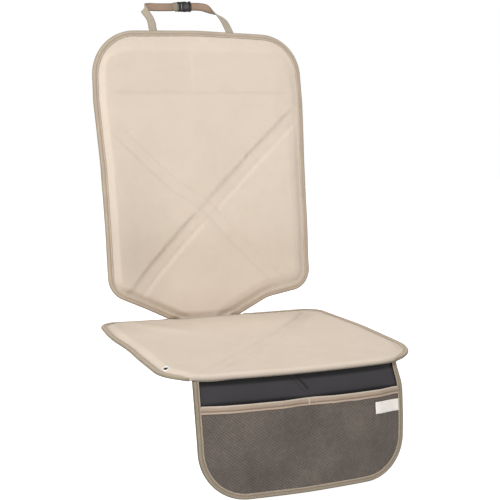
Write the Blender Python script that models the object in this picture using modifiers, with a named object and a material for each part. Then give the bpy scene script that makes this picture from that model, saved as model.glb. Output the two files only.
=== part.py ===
"""Car seat protector mat: a padded back panel, a padded seat panel, a pocket flap that
hangs from the front edge, and a buckled webbing loop that goes round the headrest.

Metres, +Z up, +X to the right as seen from the front, front towards -Y.
The origin is at the centre of the seat panel's underside.

Each panel is laid out flat as a pattern, with points (across, along) in its own plane and
a height above the pattern, and a drape function then puts them in space.
"""

import math

import bmesh
import bpy
from mathutils import Matrix, Vector

# Cloth, foam and the clearance between pieces that touch
CLOTH = 0.0008
GAP = 0.0003
PAD_THICKNESS = 0.0075
PAD_EDGE_THICKNESS = 0.0050
UNDERSIDE_TUCK = 0.0015
CROWN_WIDTH = 0.019

# Edge tape, folded round the cut edges
TAPE = 0.0009
TAPE_LAP = 0.0130

# Back panel
BACK_HALF_WIDTH = 0.2315
BACK_WAIST_HALF_WIDTH = 0.2230
BACK_HEIGHT = 0.6000
SHOULDER_HEIGHT = 0.450
WAIST_TOP = 0.320
TOP_CORNER_RADIUS = 0.090
LOBE_CORNER_RADIUS = 0.055
LOBE_CORNER_HEIGHT = 0.053
NECK_HALF_WIDTH = 0.067
NECK_FILLET_RADIUS = 0.035
BACK_RECLINE = math.radians(9.3)
BACK_EDGE_ROLL = 0.005
BACK_ROLL_WIDTH = 0.030
BACK_BULGE = 0.004
BACK_BULGE_HEIGHT = 0.180

# Quilting: each arm of the cross is two seams side by side
SEAM_PAIR_WIDTH = 0.025
BACK_CROSS_HEIGHT = 0.228
BACK_LEVEL_SEAM_HEIGHT = 0.470
QUILT_PUFF = 0.0018
QUILT_REACH = 0.020

# Seat panel
SEAT_HALF_WIDTH = 0.2430
SEAT_REAR_HALF_WIDTH = 0.2370
SEAT_DEPTH = 0.4710
SEAT_FRONT_BOW = 0.013
BOW_HALF_WIDTH = 0.190
SEAT_REAR_CORNER_RADIUS = 0.042
SEAT_FRONT_CORNER_RADIUS = 0.060
SEAT_REAR_EDGE = 0.2370
SEAT_SEAM_PLACE = 0.247
UNTAPED_FRONT = 0.008

# Pocket flap
FLAP_TOP_HALF_WIDTH = 0.1945
FLAP_MIDDLE_HALF_WIDTH = 0.1910
FLAP_LOW_HALF_WIDTH = 0.1850
FLAP_MIDDLE = 0.100
FLAP_HEM = 0.2065
FLAP_CORNER_RADIUS = 0.062
FLAP_SHIFT = -0.0085
FLAP_TILT = math.radians(4.66)
FLAP_TOP_DROP = 0.0030
FLAP_SET_BACK = 0.006
FLAP_HEM_BOW = 0.4

# Mesh pockets on the flap
POCKET_TOP = 0.0450
POCKET_TAPE_WIDTH = 0.0150
POUCH_DEPTH = 0.0095
POUCH_SHOULDER = 0.045
DIVIDER_PLACE = 0.004
DIVIDER_LEAN = 0.003
DIVIDER_HALF_WIDTH = 0.008
MESH_CLOTH = 0.0006
THREAD_RADIUS = 0.0005
BAR_TACK_SIZE = (0.0024, 0.0007, 0.0110)
LABEL_LENGTH = 0.0430
LABEL_WIDTH = 0.0205
LABEL_CLOTH = 0.0004
LABEL_PLACE = (0.1560, 0.0785)
LABEL_TILT = math.radians(5)

# Headrest strap
WEBBING_WIDTH = 0.0160
WEBBING = 0.0013
STRAP_SEWN_LENGTH = 0.030

# Side-release buckle
BUCKLE_LENGTH = 0.0310
BUCKLE_WIDTH = 0.0220
BUCKLE_THICKNESS = 0.0080
SOCKET_LENGTH = 0.0190
BUCKLE_WALL = 0.0015
BUCKLE_SLOT = 0.0032
PLUG_BASE_LENGTH = 0.0095
PLUG_THICKNESS = 0.0044
BUCKLE_LEAN = math.radians(8)
RUN_SLOPE = math.radians(2)
BUCKLE_PLACE = (-0.0205, 0.4140, 0.6500)

# Eyelet at the seat's front left corner
EYELET_RADIUS = 0.0048
EYELET_HOLE_RADIUS = 0.0022
EYELET_HEIGHT = 0.0009
EYELET_FROM_SIDE = 0.0240
EYELET_FROM_FRONT = 0.0950

# Colours from the photo, as linear values
BEIGE = (0.70, 0.60, 0.49)
TAPE_BROWN = (0.40, 0.32, 0.25)
CHARCOAL = (0.065, 0.065, 0.070)
MESH_BROWN = (0.150, 0.120, 0.100)
FOAM_CREAM = (0.75, 0.73, 0.62)
LABEL_WHITE = (0.75, 0.71, 0.66)
WEBBING_BEIGE = (0.42, 0.35, 0.28)
BUCKLE_BLACK = (0.015, 0.014, 0.013)
EYELET_BROWN = (0.30, 0.26, 0.22)

COLLECTION_NAME = "car_seat_protector_mat"
CUTTER_COLLECTION_NAME = "cutters"
TINY = 1e-6


def clear_scene():
    for old in list(bpy.data.objects):
        bpy.data.objects.remove(old, do_unlink=True)


def new_collection(name):
    made = bpy.data.collections.new(name)
    bpy.context.scene.collection.children.link(made)
    return made


def new_material(name, colour, roughness):
    made = bpy.data.materials.new(name)
    made.use_nodes = True
    shader = made.node_tree.nodes["Principled BSDF"]
    shader.inputs["Base Color"].default_value = (*colour, 1.0)
    shader.inputs["Roughness"].default_value = roughness
    shader.inputs["Metallic"].default_value = 0.0
    return made


def add_object(name, mesh, colour, roughness):
    mesh.shade_smooth()
    mesh.set_sharp_from_angle(angle=math.radians(35))
    made = bpy.data.objects.new(name, mesh)
    made.data.materials.append(new_material(name + "_finish", colour, roughness))
    bpy.data.collections[COLLECTION_NAME].objects.link(made)
    return made


def mesh_from(bm, name):
    bmesh.ops.recalc_face_normals(bm, faces=bm.faces)
    if bm.calc_volume(signed=True) < 0:
        bmesh.ops.reverse_faces(bm, faces=bm.faces)
    mesh = bpy.data.meshes.new(name)
    bm.to_mesh(mesh)
    bm.free()
    return mesh


def solid_from(curve_object):
    """Takes a curve object out of the scene and returns its surface, sewn into one."""
    bpy.context.view_layer.update()
    made = curve_object.evaluated_get(bpy.context.evaluated_depsgraph_get())
    bm = bmesh.new()
    bm.from_mesh(bpy.data.meshes.new_from_object(made))
    bpy.data.objects.remove(curve_object, do_unlink=True)
    bmesh.ops.remove_doubles(bm, verts=bm.verts, dist=0.00001)
    return bm


def ease(value):
    """Smooth step from 0 to 1."""
    value = min(max(value, 0.0), 1.0)
    return value * value * (3.0 - 2.0 * value)


def rounded(corners):
    """Closed outline from corners (across, along, radius), each corner made into an arc."""
    arc_step = math.radians(15)
    longest_side = 0.050
    points = []
    for i, (across, along, radius) in enumerate(corners):
        here = Vector((across, along))
        before = (Vector(corners[i - 1][:2]) - here).normalized()
        after = (Vector(corners[(i + 1) % len(corners)][:2]) - here).normalized()
        turn = math.pi - before.angle(after)
        if radius == 0:
            points.append(here)
            continue
        start = here + before * radius * math.tan(turn / 2)
        centre = here + (before + after).normalized() * (radius / math.cos(turn / 2))
        sense = 1 if before.cross(after) < 0 else -1
        steps = max(1, round(turn / arc_step))
        for k in range(steps + 1):
            points.append(centre + Matrix.Rotation(sense * turn * k / steps, 2) @ (start - centre))
    outline = []
    for i, point in enumerate(points):
        following = points[(i + 1) % len(points)]
        pieces = max(1, math.ceil((following - point).length / longest_side))
        outline += [point.lerp(following, k / pieces) for k in range(pieces)]
    return outline


def mirrored(half):
    """Closed list of corners from its right half, which runs from one middle point to the other."""
    return half + [(-across, along, radius) for across, along, radius in reversed(half[1:-1])]


def inset(path, depth, closed, end_level=None):
    """A path moved to its left, with mitred corners. The ends of an open path are square,
    or slide along the path's line to end_level."""
    moved = []
    last = len(path) - 1
    for i, point in enumerate(path):
        following = path[(i + 1) % len(path)] if closed or i < last else point * 2 - path[i - 1]
        previous = path[i - 1] if closed or i > 0 else point * 2 - path[1]
        before = (point - previous).normalized()
        after = (following - point).normalized()
        normal = Vector((-before.y - after.y, before.x + after.x)).normalized()
        place = point + normal * (depth / normal.dot(Vector((-after.y, after.x))))
        if end_level is not None and i in (0, last):
            place += after * ((end_level - place.y) / after.y)
        moved.append(place)
    return moved


def taped_part(outline, level):
    """The open path of an outline from its rightmost to its leftmost point at a level."""
    ends = [i for i, point in enumerate(outline) if abs(point.y - level) < TINY]
    right = max(ends, key=lambda i: outline[i].x)
    left = min(ends, key=lambda i: outline[i].x)
    return outline[right : left + 1]


def lengthened(path, extra):
    """An open path with both its ends carried on in a straight line."""
    start = path[0] + (path[0] - path[1]).normalized() * extra
    end = path[-1] + (path[-1] - path[-2]).normalized() * extra
    return [start] + path + [end]


def distance_inside(point, path):
    """Distance from a point to the nearest side of a path."""
    nearest = math.inf
    for start, end in zip(path, path[1:]):
        side = end - start
        share = min(max((point - start).dot(side) / side.length_squared, 0.0), 1.0)
        nearest = min(nearest, (start + side * share - point).length)
    return nearest


def cut_faces(bm, faces, lines):
    """Splits faces along straight lines (place, normal) and returns the pieces."""
    for place, normal in lines:
        geometry = set(faces)
        for face in faces:
            geometry.update(face.edges)
            geometry.update(face.verts)
        cut = bmesh.ops.bisect_plane(
            bm,
            geom=list(geometry),
            dist=CLOTH,
            plane_co=(*place, 0),
            plane_no=(*normal, 0),
        )
        faces = [part for part in cut["geom"] if isinstance(part, bmesh.types.BMFace)]
    return faces


def flat_pattern(outline, rings, core_lines, full_lines, uncut_rings):
    """Flat mesh inside an outline. rings are insets from the cloth's edge; full_lines cut
    everything but the first uncut_rings, and core_lines cut only what the rings enclose."""
    bm = bmesh.new()
    edge = inset(outline, TAPE + GAP, closed=True)
    core = bm.faces.new([bm.verts.new((p.x, p.y, 0)) for p in edge])
    core.normal_update()
    bands = []
    for outer, inner in zip((0.0,) + rings, rings):
        made = bmesh.ops.inset_region(
            bm, faces=[core], thickness=inner - outer, use_even_offset=True, use_boundary=True
        )
        bands.append(made["faces"])
    cut_faces(bm, [core], core_lines + full_lines)
    for band in bands[uncut_rings:]:
        cut_faces(bm, band, full_lines)
    bm.normal_update()
    bmesh.ops.triangulate(bm, faces=bm.faces)
    return bm


def add_layer(name, flat, low, high, drape, colour, roughness):
    """Closed solid over a flat pattern, between the heights low and high."""
    bm = flat.copy()
    lower = list(bm.verts)
    made = bmesh.ops.extrude_face_region(bm, geom=list(bm.faces), use_keep_orig=True)
    upper = [part for part in made["geom"] if isinstance(part, bmesh.types.BMVert)]
    for verts, height in ((lower, low), (upper, high)):
        for vert in verts:
            point = vert.co.to_2d()
            vert.co = drape(point, height(point))
    return add_object(name, mesh_from(bm, name), colour, roughness)


def add_sweep(name, sections, colour, roughness):
    """Closed solid through sections, each a ring of points in order, with both ends capped."""
    bm = bmesh.new()
    rings = [[bm.verts.new(point) for point in section] for section in sections]
    for near, far in zip(rings, rings[1:]):
        for i in range(len(near)):
            bm.faces.new((near[i - 1], near[i], far[i], far[i - 1]))
    bm.faces.new(rings[0])
    bm.faces.new(rings[-1])
    bm.normal_update()
    bmesh.ops.triangulate(bm, faces=bm.faces)
    return add_object(name, mesh_from(bm, name), colour, roughness)


def tape_section(low, high, lap):
    """Section of a folded tape round a cut edge, as (inwards, height) points."""
    fold = TAPE * 0.8
    return [
        (lap, high),
        (fold, high),
        (0.0, high - fold),
        (0.0, low + fold),
        (fold, low),
        (lap, low),
        (lap, low + TAPE),
        (TAPE, low + TAPE),
        (TAPE, high - TAPE),
        (lap, high - TAPE),
    ]


def add_tape(name, path, section, drape, end_level=None):
    """Folded tape whose fold follows a path that has the cloth on its left."""
    inner = [inset(path, depth, False, end_level) for depth, height in section]
    sections = [
        [drape(line[i], height) for line, (depth, height) in zip(inner, section)]
        for i in range(len(path))
    ]
    return add_sweep(name, sections, TAPE_BROWN, 0.85)


# Padded panels


PAD_TAPE = tape_section(
    UNDERSIDE_TUCK - GAP - TAPE, PAD_EDGE_THICKNESS + GAP + TAPE, TAPE_LAP
)


def seam_pair(centre, direction):
    """The two seam lines of one arm of the quilting, as (place, normal)."""
    normal = Vector((-direction[1], direction[0])).normalized()
    offset = normal * (SEAM_PAIR_WIDTH / 2)
    return [(Vector(centre) - offset, normal), (Vector(centre) + offset, normal)]


def crown_at(point, outline):
    """0 under the tape, 1 where the pad has its full thickness."""
    inside = distance_inside(point, outline + outline[:1])
    return ease((inside - TAPE_LAP - GAP) / CROWN_WIDTH)


def underside_height(point, outline):
    return UNDERSIDE_TUCK * (1 - crown_at(point, outline))


def top_height(point, outline, seams):
    """The face cloth's upper side: drawn down at the seams and at the tape."""
    nearest = min(abs((point - place).dot(normal)) for place, normal in seams)
    puff = QUILT_PUFF * (1 - math.exp(-nearest / QUILT_REACH))
    rise = PAD_THICKNESS - PAD_EDGE_THICKNESS + puff
    return PAD_EDGE_THICKNESS + rise * crown_at(point, outline)


def add_padded_panel(prefix, outline, seams, bends, drape):
    """Backing, foam and quilted face cloth of one panel, each a gap apart."""
    ring = TAPE_LAP - TAPE
    rings = (ring, ring + 0.4 * CROWN_WIDTH, ring + CROWN_WIDTH + GAP)
    flat = flat_pattern(outline, rings, bends, seams, uncut_rings=2)

    def under(point):
        return underside_height(point, outline)

    def top(point):
        return top_height(point, outline, seams)

    name = prefix + "_grip_backing"
    add_layer(name, flat, under, lambda p: under(p) + CLOTH, drape, CHARCOAL, 0.9)
    low, high = CLOTH + GAP, -CLOTH - GAP
    name = prefix + "_foam"
    add_layer(
        name, flat, lambda p: under(p) + low, lambda p: top(p) + high, drape, FOAM_CREAM, 0.95
    )
    name = prefix + "_face_fabric"
    add_layer(name, flat, lambda p: top(p) - CLOTH, top, drape, BEIGE, 0.8)
    flat.free()


# Back panel


NECK_END = TAPE + GAP
BACK_UP = Vector((0, math.sin(BACK_RECLINE), math.cos(BACK_RECLINE)))
BACK_FRONT = Vector((0, -math.cos(BACK_RECLINE), math.sin(BACK_RECLINE)))
BACK_FOOT = Vector((0, SEAT_REAR_EDGE, PAD_EDGE_THICKNESS + GAP - NECK_END * BACK_UP.z))
BACK_OUTLINE = rounded(
    mirrored(
        [
            (0.0, 0.0, 0),
            (NECK_HALF_WIDTH - 0.022, 0.0, 0),
            (NECK_HALF_WIDTH, 0.0, 0),
            (NECK_HALF_WIDTH + 0.020, 0.0155, NECK_FILLET_RADIUS),
            (BACK_WAIST_HALF_WIDTH, LOBE_CORNER_HEIGHT, LOBE_CORNER_RADIUS),
            (BACK_WAIST_HALF_WIDTH, WAIST_TOP, 0.4),
            (BACK_HALF_WIDTH, SHOULDER_HEIGHT, 0.15),
            (BACK_HALF_WIDTH - 0.003, BACK_HEIGHT - 0.007, TOP_CORNER_RADIUS),
            (0.090, BACK_HEIGHT - 0.002, 0.3),
            (0.0, BACK_HEIGHT, 0),
        ]
    )
)
BACK_TAPED = taped_part(BACK_OUTLINE, 0.0)
BACK_SIDES = lengthened(BACK_TAPED, 2 * TAPE_LAP)


def back_drape(point, height):
    """Reclined plane whose taped edges roll backwards, with a soft bulge above the neck."""
    from_tape = distance_inside(point, BACK_SIDES) - TAPE_LAP - GAP
    roll = BACK_EDGE_ROLL * (1 - ease(from_tape / BACK_ROLL_WIDTH))
    above_neck = max(point.y - TAPE_LAP - GAP, 0.0)
    wave = math.sin(math.pi * min(above_neck / BACK_BULGE_HEIGHT, 1.0))
    lift = height - PAD_THICKNESS / 2 - roll - BACK_BULGE * wave * wave
    return BACK_FOOT + Vector((point.x, 0, 0)) + BACK_UP * point.y + BACK_FRONT * lift


def build_back():
    centre = (0.0, BACK_CROSS_HEIGHT)
    seams = seam_pair(centre, (1, 1)) + seam_pair(centre, (-1, 1))
    seams.append((Vector((0, BACK_LEVEL_SEAM_HEIGHT)), Vector((0, 1))))
    levels = [BACK_BULGE_HEIGHT * share for share in (0.25, 0.5, 0.75, 1.0)]
    levels += [0.32, 0.54]
    bends = [((0, level), (0, 1)) for level in levels]
    bends += [((across, 0), (1, 0)) for across in (-0.11, 0.11)]
    add_padded_panel("back", BACK_OUTLINE, seams, bends, back_drape)
    add_tape("back_edge_binding", BACK_TAPED, PAD_TAPE, back_drape, NECK_END)


# Seat panel


def front_edge(across):
    """How far the seat's front edge lies in front of its rear edge."""
    return SEAT_DEPTH + SEAT_FRONT_BOW * (1 - (across / BOW_HALF_WIDTH) ** 2)


SEAT_OUTLINE = rounded(
    mirrored(
        [
            (0.0, 0.0, 0),
            (SEAT_REAR_HALF_WIDTH, 0.0, SEAT_REAR_CORNER_RADIUS),
            (SEAT_HALF_WIDTH, 0.130, 0.4),
            (SEAT_HALF_WIDTH, 0.300, 0.4),
            (SEAT_HALF_WIDTH - 0.005, front_edge(SEAT_HALF_WIDTH), SEAT_FRONT_CORNER_RADIUS),
            *[(across, front_edge(across), 0) for across in (0.150, 0.105, 0.055, 0.0)],
        ]
    )
)
SEAT_SEAMS = seam_pair((0.0, SEAT_SEAM_PLACE), (-1, 1))


def seat_drape(point, height):
    return Vector((point.x, SEAT_REAR_EDGE - point.y, height))


def build_seat():
    bends = [((0, forward), (0, 1)) for forward in (0.12, 0.24, 0.36)]
    bends += [((across, 0), (1, 0)) for across in (-0.12, 0.12)]
    add_padded_panel("seat", SEAT_OUTLINE, SEAT_SEAMS, bends, seat_drape)
    neck_end = Vector((NECK_HALF_WIDTH + 0.004, 0.0))
    right = [neck_end]
    for point in SEAT_OUTLINE:
        if point.x > neck_end.x and point.y < front_edge(point.x) - UNTAPED_FRONT:
            right.append(point)
    left = [Vector((-point.x, point.y)) for point in reversed(right)]
    add_tape("seat_binding_right", right, PAD_TAPE, seat_drape)
    add_tape("seat_binding_left", left, PAD_TAPE, seat_drape)


def build_eyelet():
    """A small turned ring, pressed through the face cloth beside the tape."""
    profile = [
        (EYELET_RADIUS - 0.0006, EYELET_HEIGHT),
        (EYELET_RADIUS, 0.0),
        (EYELET_HOLE_RADIUS, 0.0),
        (EYELET_HOLE_RADIUS + 0.0003, EYELET_HEIGHT),
    ]
    bm = bmesh.new()
    verts = [bm.verts.new((radius, 0, height)) for radius, height in profile]
    for i, vert in enumerate(verts):
        bm.edges.new((verts[i - 1], vert))
    mesh = bpy.data.meshes.new("corner_eyelet")
    bm.to_mesh(mesh)
    bm.free()
    made = add_object("corner_eyelet", mesh, EYELET_BROWN, 0.5)
    turned = made.modifiers.new("turned", "SCREW")
    turned.steps = turned.render_steps = 24
    turned.use_merge_vertices = True
    turned.merge_threshold = 0.00001
    place = Vector((EYELET_FROM_SIDE - SEAT_HALF_WIDTH, SEAT_DEPTH - EYELET_FROM_FRONT))
    inner = place + Vector((EYELET_RADIUS, 0))
    made.location = seat_drape(place, top_height(inner, SEAT_OUTLINE, SEAT_SEAMS) + GAP)


# Pocket flap


FLAP_DOWN = Vector((0, -math.sin(FLAP_TILT), -math.cos(FLAP_TILT)))
FLAP_FRONT = Vector((0, -math.cos(FLAP_TILT), math.sin(FLAP_TILT)))
FLAP_OUTLINE = rounded(
    mirrored(
        [
            (0.0, FLAP_TOP_DROP, 0),
            (FLAP_TOP_HALF_WIDTH, FLAP_TOP_DROP, 0),
            (FLAP_MIDDLE_HALF_WIDTH, FLAP_MIDDLE, 0.5),
            (FLAP_LOW_HALF_WIDTH, FLAP_HEM, FLAP_CORNER_RADIUS),
            (0.0, FLAP_HEM, 0),
        ]
    )
)
FLAP_TAPED = taped_part(FLAP_OUTLINE, FLAP_TOP_DROP)
MESH_EDGE_HEIGHT = CLOTH + GAP + TAPE + GAP
FLAP_TAPE = tape_section(
    -GAP - TAPE, MESH_EDGE_HEIGHT + MESH_CLOTH + GAP + TAPE, TAPE_LAP
)


def flap_drape(point, height):
    """Sewn along the bowed front edge, the flap hangs and flattens towards its hem."""
    x = point.x + FLAP_SHIFT
    flattening = 1 - (1 - FLAP_HEM_BOW) * point.y / FLAP_HEM
    bow = (front_edge(0.0) - front_edge(x)) * flattening
    y = SEAT_REAR_EDGE - front_edge(0.0) + FLAP_SET_BACK + bow
    top = Vector((x, y, PAD_THICKNESS / 2))
    return top + FLAP_DOWN * point.y + FLAP_FRONT * height


def half_width_at(down):
    """Half-width of the flap's outline near the pocket's mouth."""
    share = (down - FLAP_TOP_DROP) / (FLAP_MIDDLE - FLAP_TOP_DROP)
    return FLAP_TOP_HALF_WIDTH + (FLAP_MIDDLE_HALF_WIDTH - FLAP_TOP_HALF_WIDTH) * share


POCKET_TAPE_END = half_width_at(POCKET_TOP + TAPE_LAP + GAP) - TAPE_LAP - GAP


def mesh_height(point):
    """Rear side of the pocket mesh: two shallow pouches beside a sewn line."""
    from_tape = distance_inside(point, FLAP_TAPED) - TAPE_LAP - GAP
    from_divider = abs(point.x - DIVIDER_PLACE) - DIVIDER_HALF_WIDTH
    pouch = ease(from_tape / POUCH_SHOULDER) * ease(from_divider / POUCH_SHOULDER)
    return MESH_EDGE_HEIGHT + POUCH_DEPTH * pouch


def pouch_lines():
    """Places across the mesh where the pouches bend."""
    bends = (0.0, 0.012, 0.024, POUCH_SHOULDER, 0.090)
    right = [DIVIDER_HALF_WIDTH + bend for bend in bends]
    lines = [DIVIDER_PLACE + sign * bend for bend in right for sign in (-1, 1)]
    shoulders = [POCKET_TAPE_END - inwards for inwards in (0.0, 0.015, 0.033)]
    return sorted(lines + [sign * place for place in shoulders for sign in (-1, 1)])


def build_flap():
    bends = [((across, 0), (1, 0)) for across in (-0.12, -0.06, 0.0, 0.06, 0.12)]
    flat = flat_pattern(FLAP_OUTLINE, (TAPE_LAP - TAPE,), bends, [], uncut_rings=1)
    add_layer(
        "flap_backing", flat, lambda p: 0.0, lambda p: CLOTH, flap_drape, CHARCOAL, 0.8
    )
    flat.free()
    add_tape("flap_edge_binding", FLAP_TAPED, FLAP_TAPE, flap_drape, FLAP_TOP_DROP)


def build_pocket():
    corner = Vector((half_width_at(POCKET_TOP), POCKET_TOP))
    lower = [point for point in FLAP_TAPED if point.y > POCKET_TOP + 2 * TAPE_LAP]
    outline = [corner] + lower + [Vector((-corner.x, corner.y))]
    lines = [((across, 0), (1, 0)) for across in pouch_lines()]
    lines += [((0, down), (0, 1)) for down in (0.125, 0.150, 0.172)]
    flat = flat_pattern(outline, (TAPE_LAP - TAPE,), [], lines, uncut_rings=0)
    add_layer(
        "pocket_mesh",
        flat,
        mesh_height,
        lambda p: mesh_height(p) + MESH_CLOTH,
        flap_drape,
        MESH_BROWN,
        0.7,
    )
    flat.free()


def build_pocket_tape():
    """Tape over the mesh's upper edge, which follows both pouches."""
    section = tape_section(-GAP - TAPE, MESH_CLOTH + GAP + TAPE, POCKET_TAPE_WIDTH)
    sections = []
    for across in pouch_lines():
        ring = []
        for depth, height in section:
            point = Vector((across, POCKET_TOP + depth))
            ring.append(flap_drape(point, mesh_height(point) + height))
        sections.append(ring)
    add_sweep("pocket_top_binding", sections, TAPE_BROWN, 0.85)


def divider_point(down):
    """The sewn line leans a little across the flap on its way down."""
    share = (down - POCKET_TOP) / (FLAP_HEM - POCKET_TOP)
    return Vector((DIVIDER_PLACE + DIVIDER_LEAN * (1 - 2 * share), down))


def build_divider():
    height = MESH_EDGE_HEIGHT + MESH_CLOTH + GAP + THREAD_RADIUS
    start = POCKET_TOP + POCKET_TAPE_WIDTH + GAP
    end = FLAP_HEM - TAPE_LAP - GAP
    curve = bpy.data.curves.new("pocket_divider_thread", "CURVE")
    curve.dimensions = "3D"
    curve.bevel_depth = THREAD_RADIUS
    curve.bevel_resolution = 1
    curve.use_fill_caps = True
    line = curve.splines.new("POLY")
    steps = 4
    line.points.add(steps)
    for i, point in enumerate(line.points):
        place = divider_point(start + (end - start) * i / steps)
        point.co = (*flap_drape(place, height), 1)
    flat = bpy.data.objects.new("pocket_divider_line", curve)
    bpy.data.collections[COLLECTION_NAME].objects.link(flat)
    bm = solid_from(flat)
    add_object(
        "pocket_divider_thread", mesh_from(bm, "pocket_divider_thread"), TAPE_BROWN, 0.7
    )


def build_bar_tack():
    width, thickness, length = BAR_TACK_SIZE
    down = POCKET_TOP + POCKET_TAPE_WIDTH / 2
    tape_face = MESH_EDGE_HEIGHT + MESH_CLOTH + GAP + TAPE
    centre = flap_drape(divider_point(down), tape_face + GAP + thickness / 2)
    bm = bmesh.new()
    bmesh.ops.create_cube(bm, size=1.0)
    bmesh.ops.scale(bm, vec=(width, thickness, length), verts=bm.verts)
    made = add_object("pocket_bar_tack", mesh_from(bm, "pocket_bar_tack"), LABEL_WHITE, 0.7)
    made.location = centre
    made.rotation_euler = (-FLAP_TILT, 0, 0)
    edges = made.modifiers.new("soft_edges", "BEVEL")
    edges.width = thickness * 0.3
    edges.segments = 2


def build_label():
    """Blank woven label, sewn under the edge tape at its right end."""
    bm = bmesh.new()
    bmesh.ops.create_grid(bm, x_segments=4, y_segments=1, size=0.5)
    turn = Matrix.Rotation(-LABEL_TILT, 2)
    for vert in bm.verts:
        corner = Vector((vert.co.x * LABEL_LENGTH, vert.co.y * LABEL_WIDTH))
        vert.co = (turn @ corner + Vector(LABEL_PLACE)).to_3d()
    bmesh.ops.triangulate(bm, faces=bm.faces)
    stand_off = MESH_CLOTH + 3 * GAP
    add_layer(
        "pocket_label",
        bm,
        lambda p: mesh_height(p) + stand_off,
        lambda p: mesh_height(p) + stand_off + LABEL_CLOTH,
        flap_drape,
        LABEL_WHITE,
        0.7,
    )
    bm.free()


# Headrest strap


# Points along each half of the loop, chosen by hand: (x, y, z, turn), where turn is how far
# the webbing has twisted, from flat against the panel (0 or 180) to upright (90).
STRAP_LEFT_FOOT = -0.0965
STRAP_LEFT_ROUTE = [
    (-0.0955, 0.3535, 0.6035, 8),
    (-0.0945, 0.3650, 0.6125, 30),
    (-0.0945, 0.3800, 0.6235, 55),
    (-0.0940, 0.3960, 0.6355, 78),
    (-0.0915, 0.4085, 0.6445, 90),
    (-0.0840, 0.4140, 0.6478, 90),
    (-0.0700, 0.4145, 0.6483, 90),
    (-0.0450, 0.4143, 0.6491, 90),
]
STRAP_RIGHT_FOOT = 0.0725
STRAP_RIGHT_ROUTE = [
    (0.0240, 0.4143, 0.6515, 90),
    (0.0400, 0.4138, 0.6516, 90),
    (0.0520, 0.4085, 0.6478, 96),
    (0.0595, 0.3955, 0.6385, 112),
    (0.0660, 0.3800, 0.6278, 132),
    (0.0705, 0.3665, 0.6178, 152),
    (0.0728, 0.3550, 0.6070, 170),
]
ROUTE_STEPS = 3


def sewn_end(across, turn):
    """Stations of the strap's end on the back panel's rear, from its lower end to the edge."""
    height = -GAP - WEBBING / 2 - GAP
    stations = []
    for share in (0.0, 0.4, 0.7, 1.0):
        up = BACK_HEIGHT - 0.002 - STRAP_SEWN_LENGTH * (1 - share)
        stations.append((*back_drape(Vector((across, up)), height), turn))
    return stations


def smooth_route(route):
    """Stations on one smooth curve through a route's own stations."""
    knots = [Vector(station) for station in route]
    knots = [knots[0] * 2 - knots[1]] + knots + [knots[-1] * 2 - knots[-2]]
    smooth = []
    for a, b, c, d in zip(knots, knots[1:], knots[2:], knots[3:]):
        for k in range(ROUTE_STEPS):
            t = k / ROUTE_STEPS
            rise = (c - a) * t
            bend = (a * 2 - b * 5 + c * 4 - d) * t**2
            twist = (b * 3 - a - c * 3 + d) * t**3
            smooth.append(b + (rise + bend + twist) / 2)
    smooth.append(knots[-2])
    return smooth


def add_webbing(name, route):
    stations = smooth_route(route)
    upright = Vector((0, math.sin(BUCKLE_LEAN), math.cos(BUCKLE_LEAN)))
    sections = []
    for i, station in enumerate(stations):
        before = stations[max(i - 1, 0)].to_3d()
        after = stations[min(i + 1, len(stations) - 1)].to_3d()
        along = (after - before).normalized()
        turn = math.radians(station[3])
        across = Vector((math.cos(turn), 0, 0)) + upright * math.sin(turn)
        across = (across - along * across.dot(along)).normalized()
        wide = across * (WEBBING_WIDTH / 2)
        thick = across.cross(along) * (WEBBING / 2)
        here = station.to_3d()
        ring = [here - wide - thick, here + wide - thick, here + wide + thick, here - wide + thick]
        sections.append(ring)
    add_sweep(name, sections, WEBBING_BEIGE, 0.85)


def buckle_matrix():
    """From the buckle's own frame (x along the strap, z across it) to the mat's."""
    turn = Matrix.Rotation(-RUN_SLOPE, 4, "Y") @ Matrix.Rotation(-BUCKLE_LEAN, 4, "X")
    return Matrix.Translation(BUCKLE_PLACE) @ turn


def build_strap():
    plug_end = buckle_matrix() @ Vector((-GAP, 0, 0))
    socket_end = buckle_matrix() @ Vector((BUCKLE_LENGTH + GAP, 0, 0))
    left = sewn_end(STRAP_LEFT_FOOT, 0) + STRAP_LEFT_ROUTE + [(*plug_end, 90)]
    right = [(*socket_end, 90)] + STRAP_RIGHT_ROUTE + sewn_end(STRAP_RIGHT_FOOT, 180)[::-1]
    add_webbing("strap_left", left)
    add_webbing("strap_right", right)


# Side-release buckle


def add_box(name, low, high, home):
    """A box between two corners of the buckle's frame."""
    low, high = Vector(low), Vector(high)
    bm = bmesh.new()
    bmesh.ops.create_cube(bm, size=1.0)
    bmesh.ops.scale(bm, vec=high - low, verts=bm.verts)
    bmesh.ops.translate(bm, vec=(low + high) / 2, verts=bm.verts)
    made = bpy.data.objects.new(name, mesh_from(bm, name))
    home.objects.link(made)
    made.matrix_world = buckle_matrix()
    return made


def cut_away(target, low, high):
    cutters = bpy.data.collections[CUTTER_COLLECTION_NAME]
    cutter = add_box(target.name + "_cutter", low, high, cutters)
    cutter.hide_render = True
    cutter.display_type = "WIRE"
    cut = target.modifiers.new("cut", "BOOLEAN")
    cut.operation = "DIFFERENCE"
    cut.solver = "EXACT"
    cut.object = cutter


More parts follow.
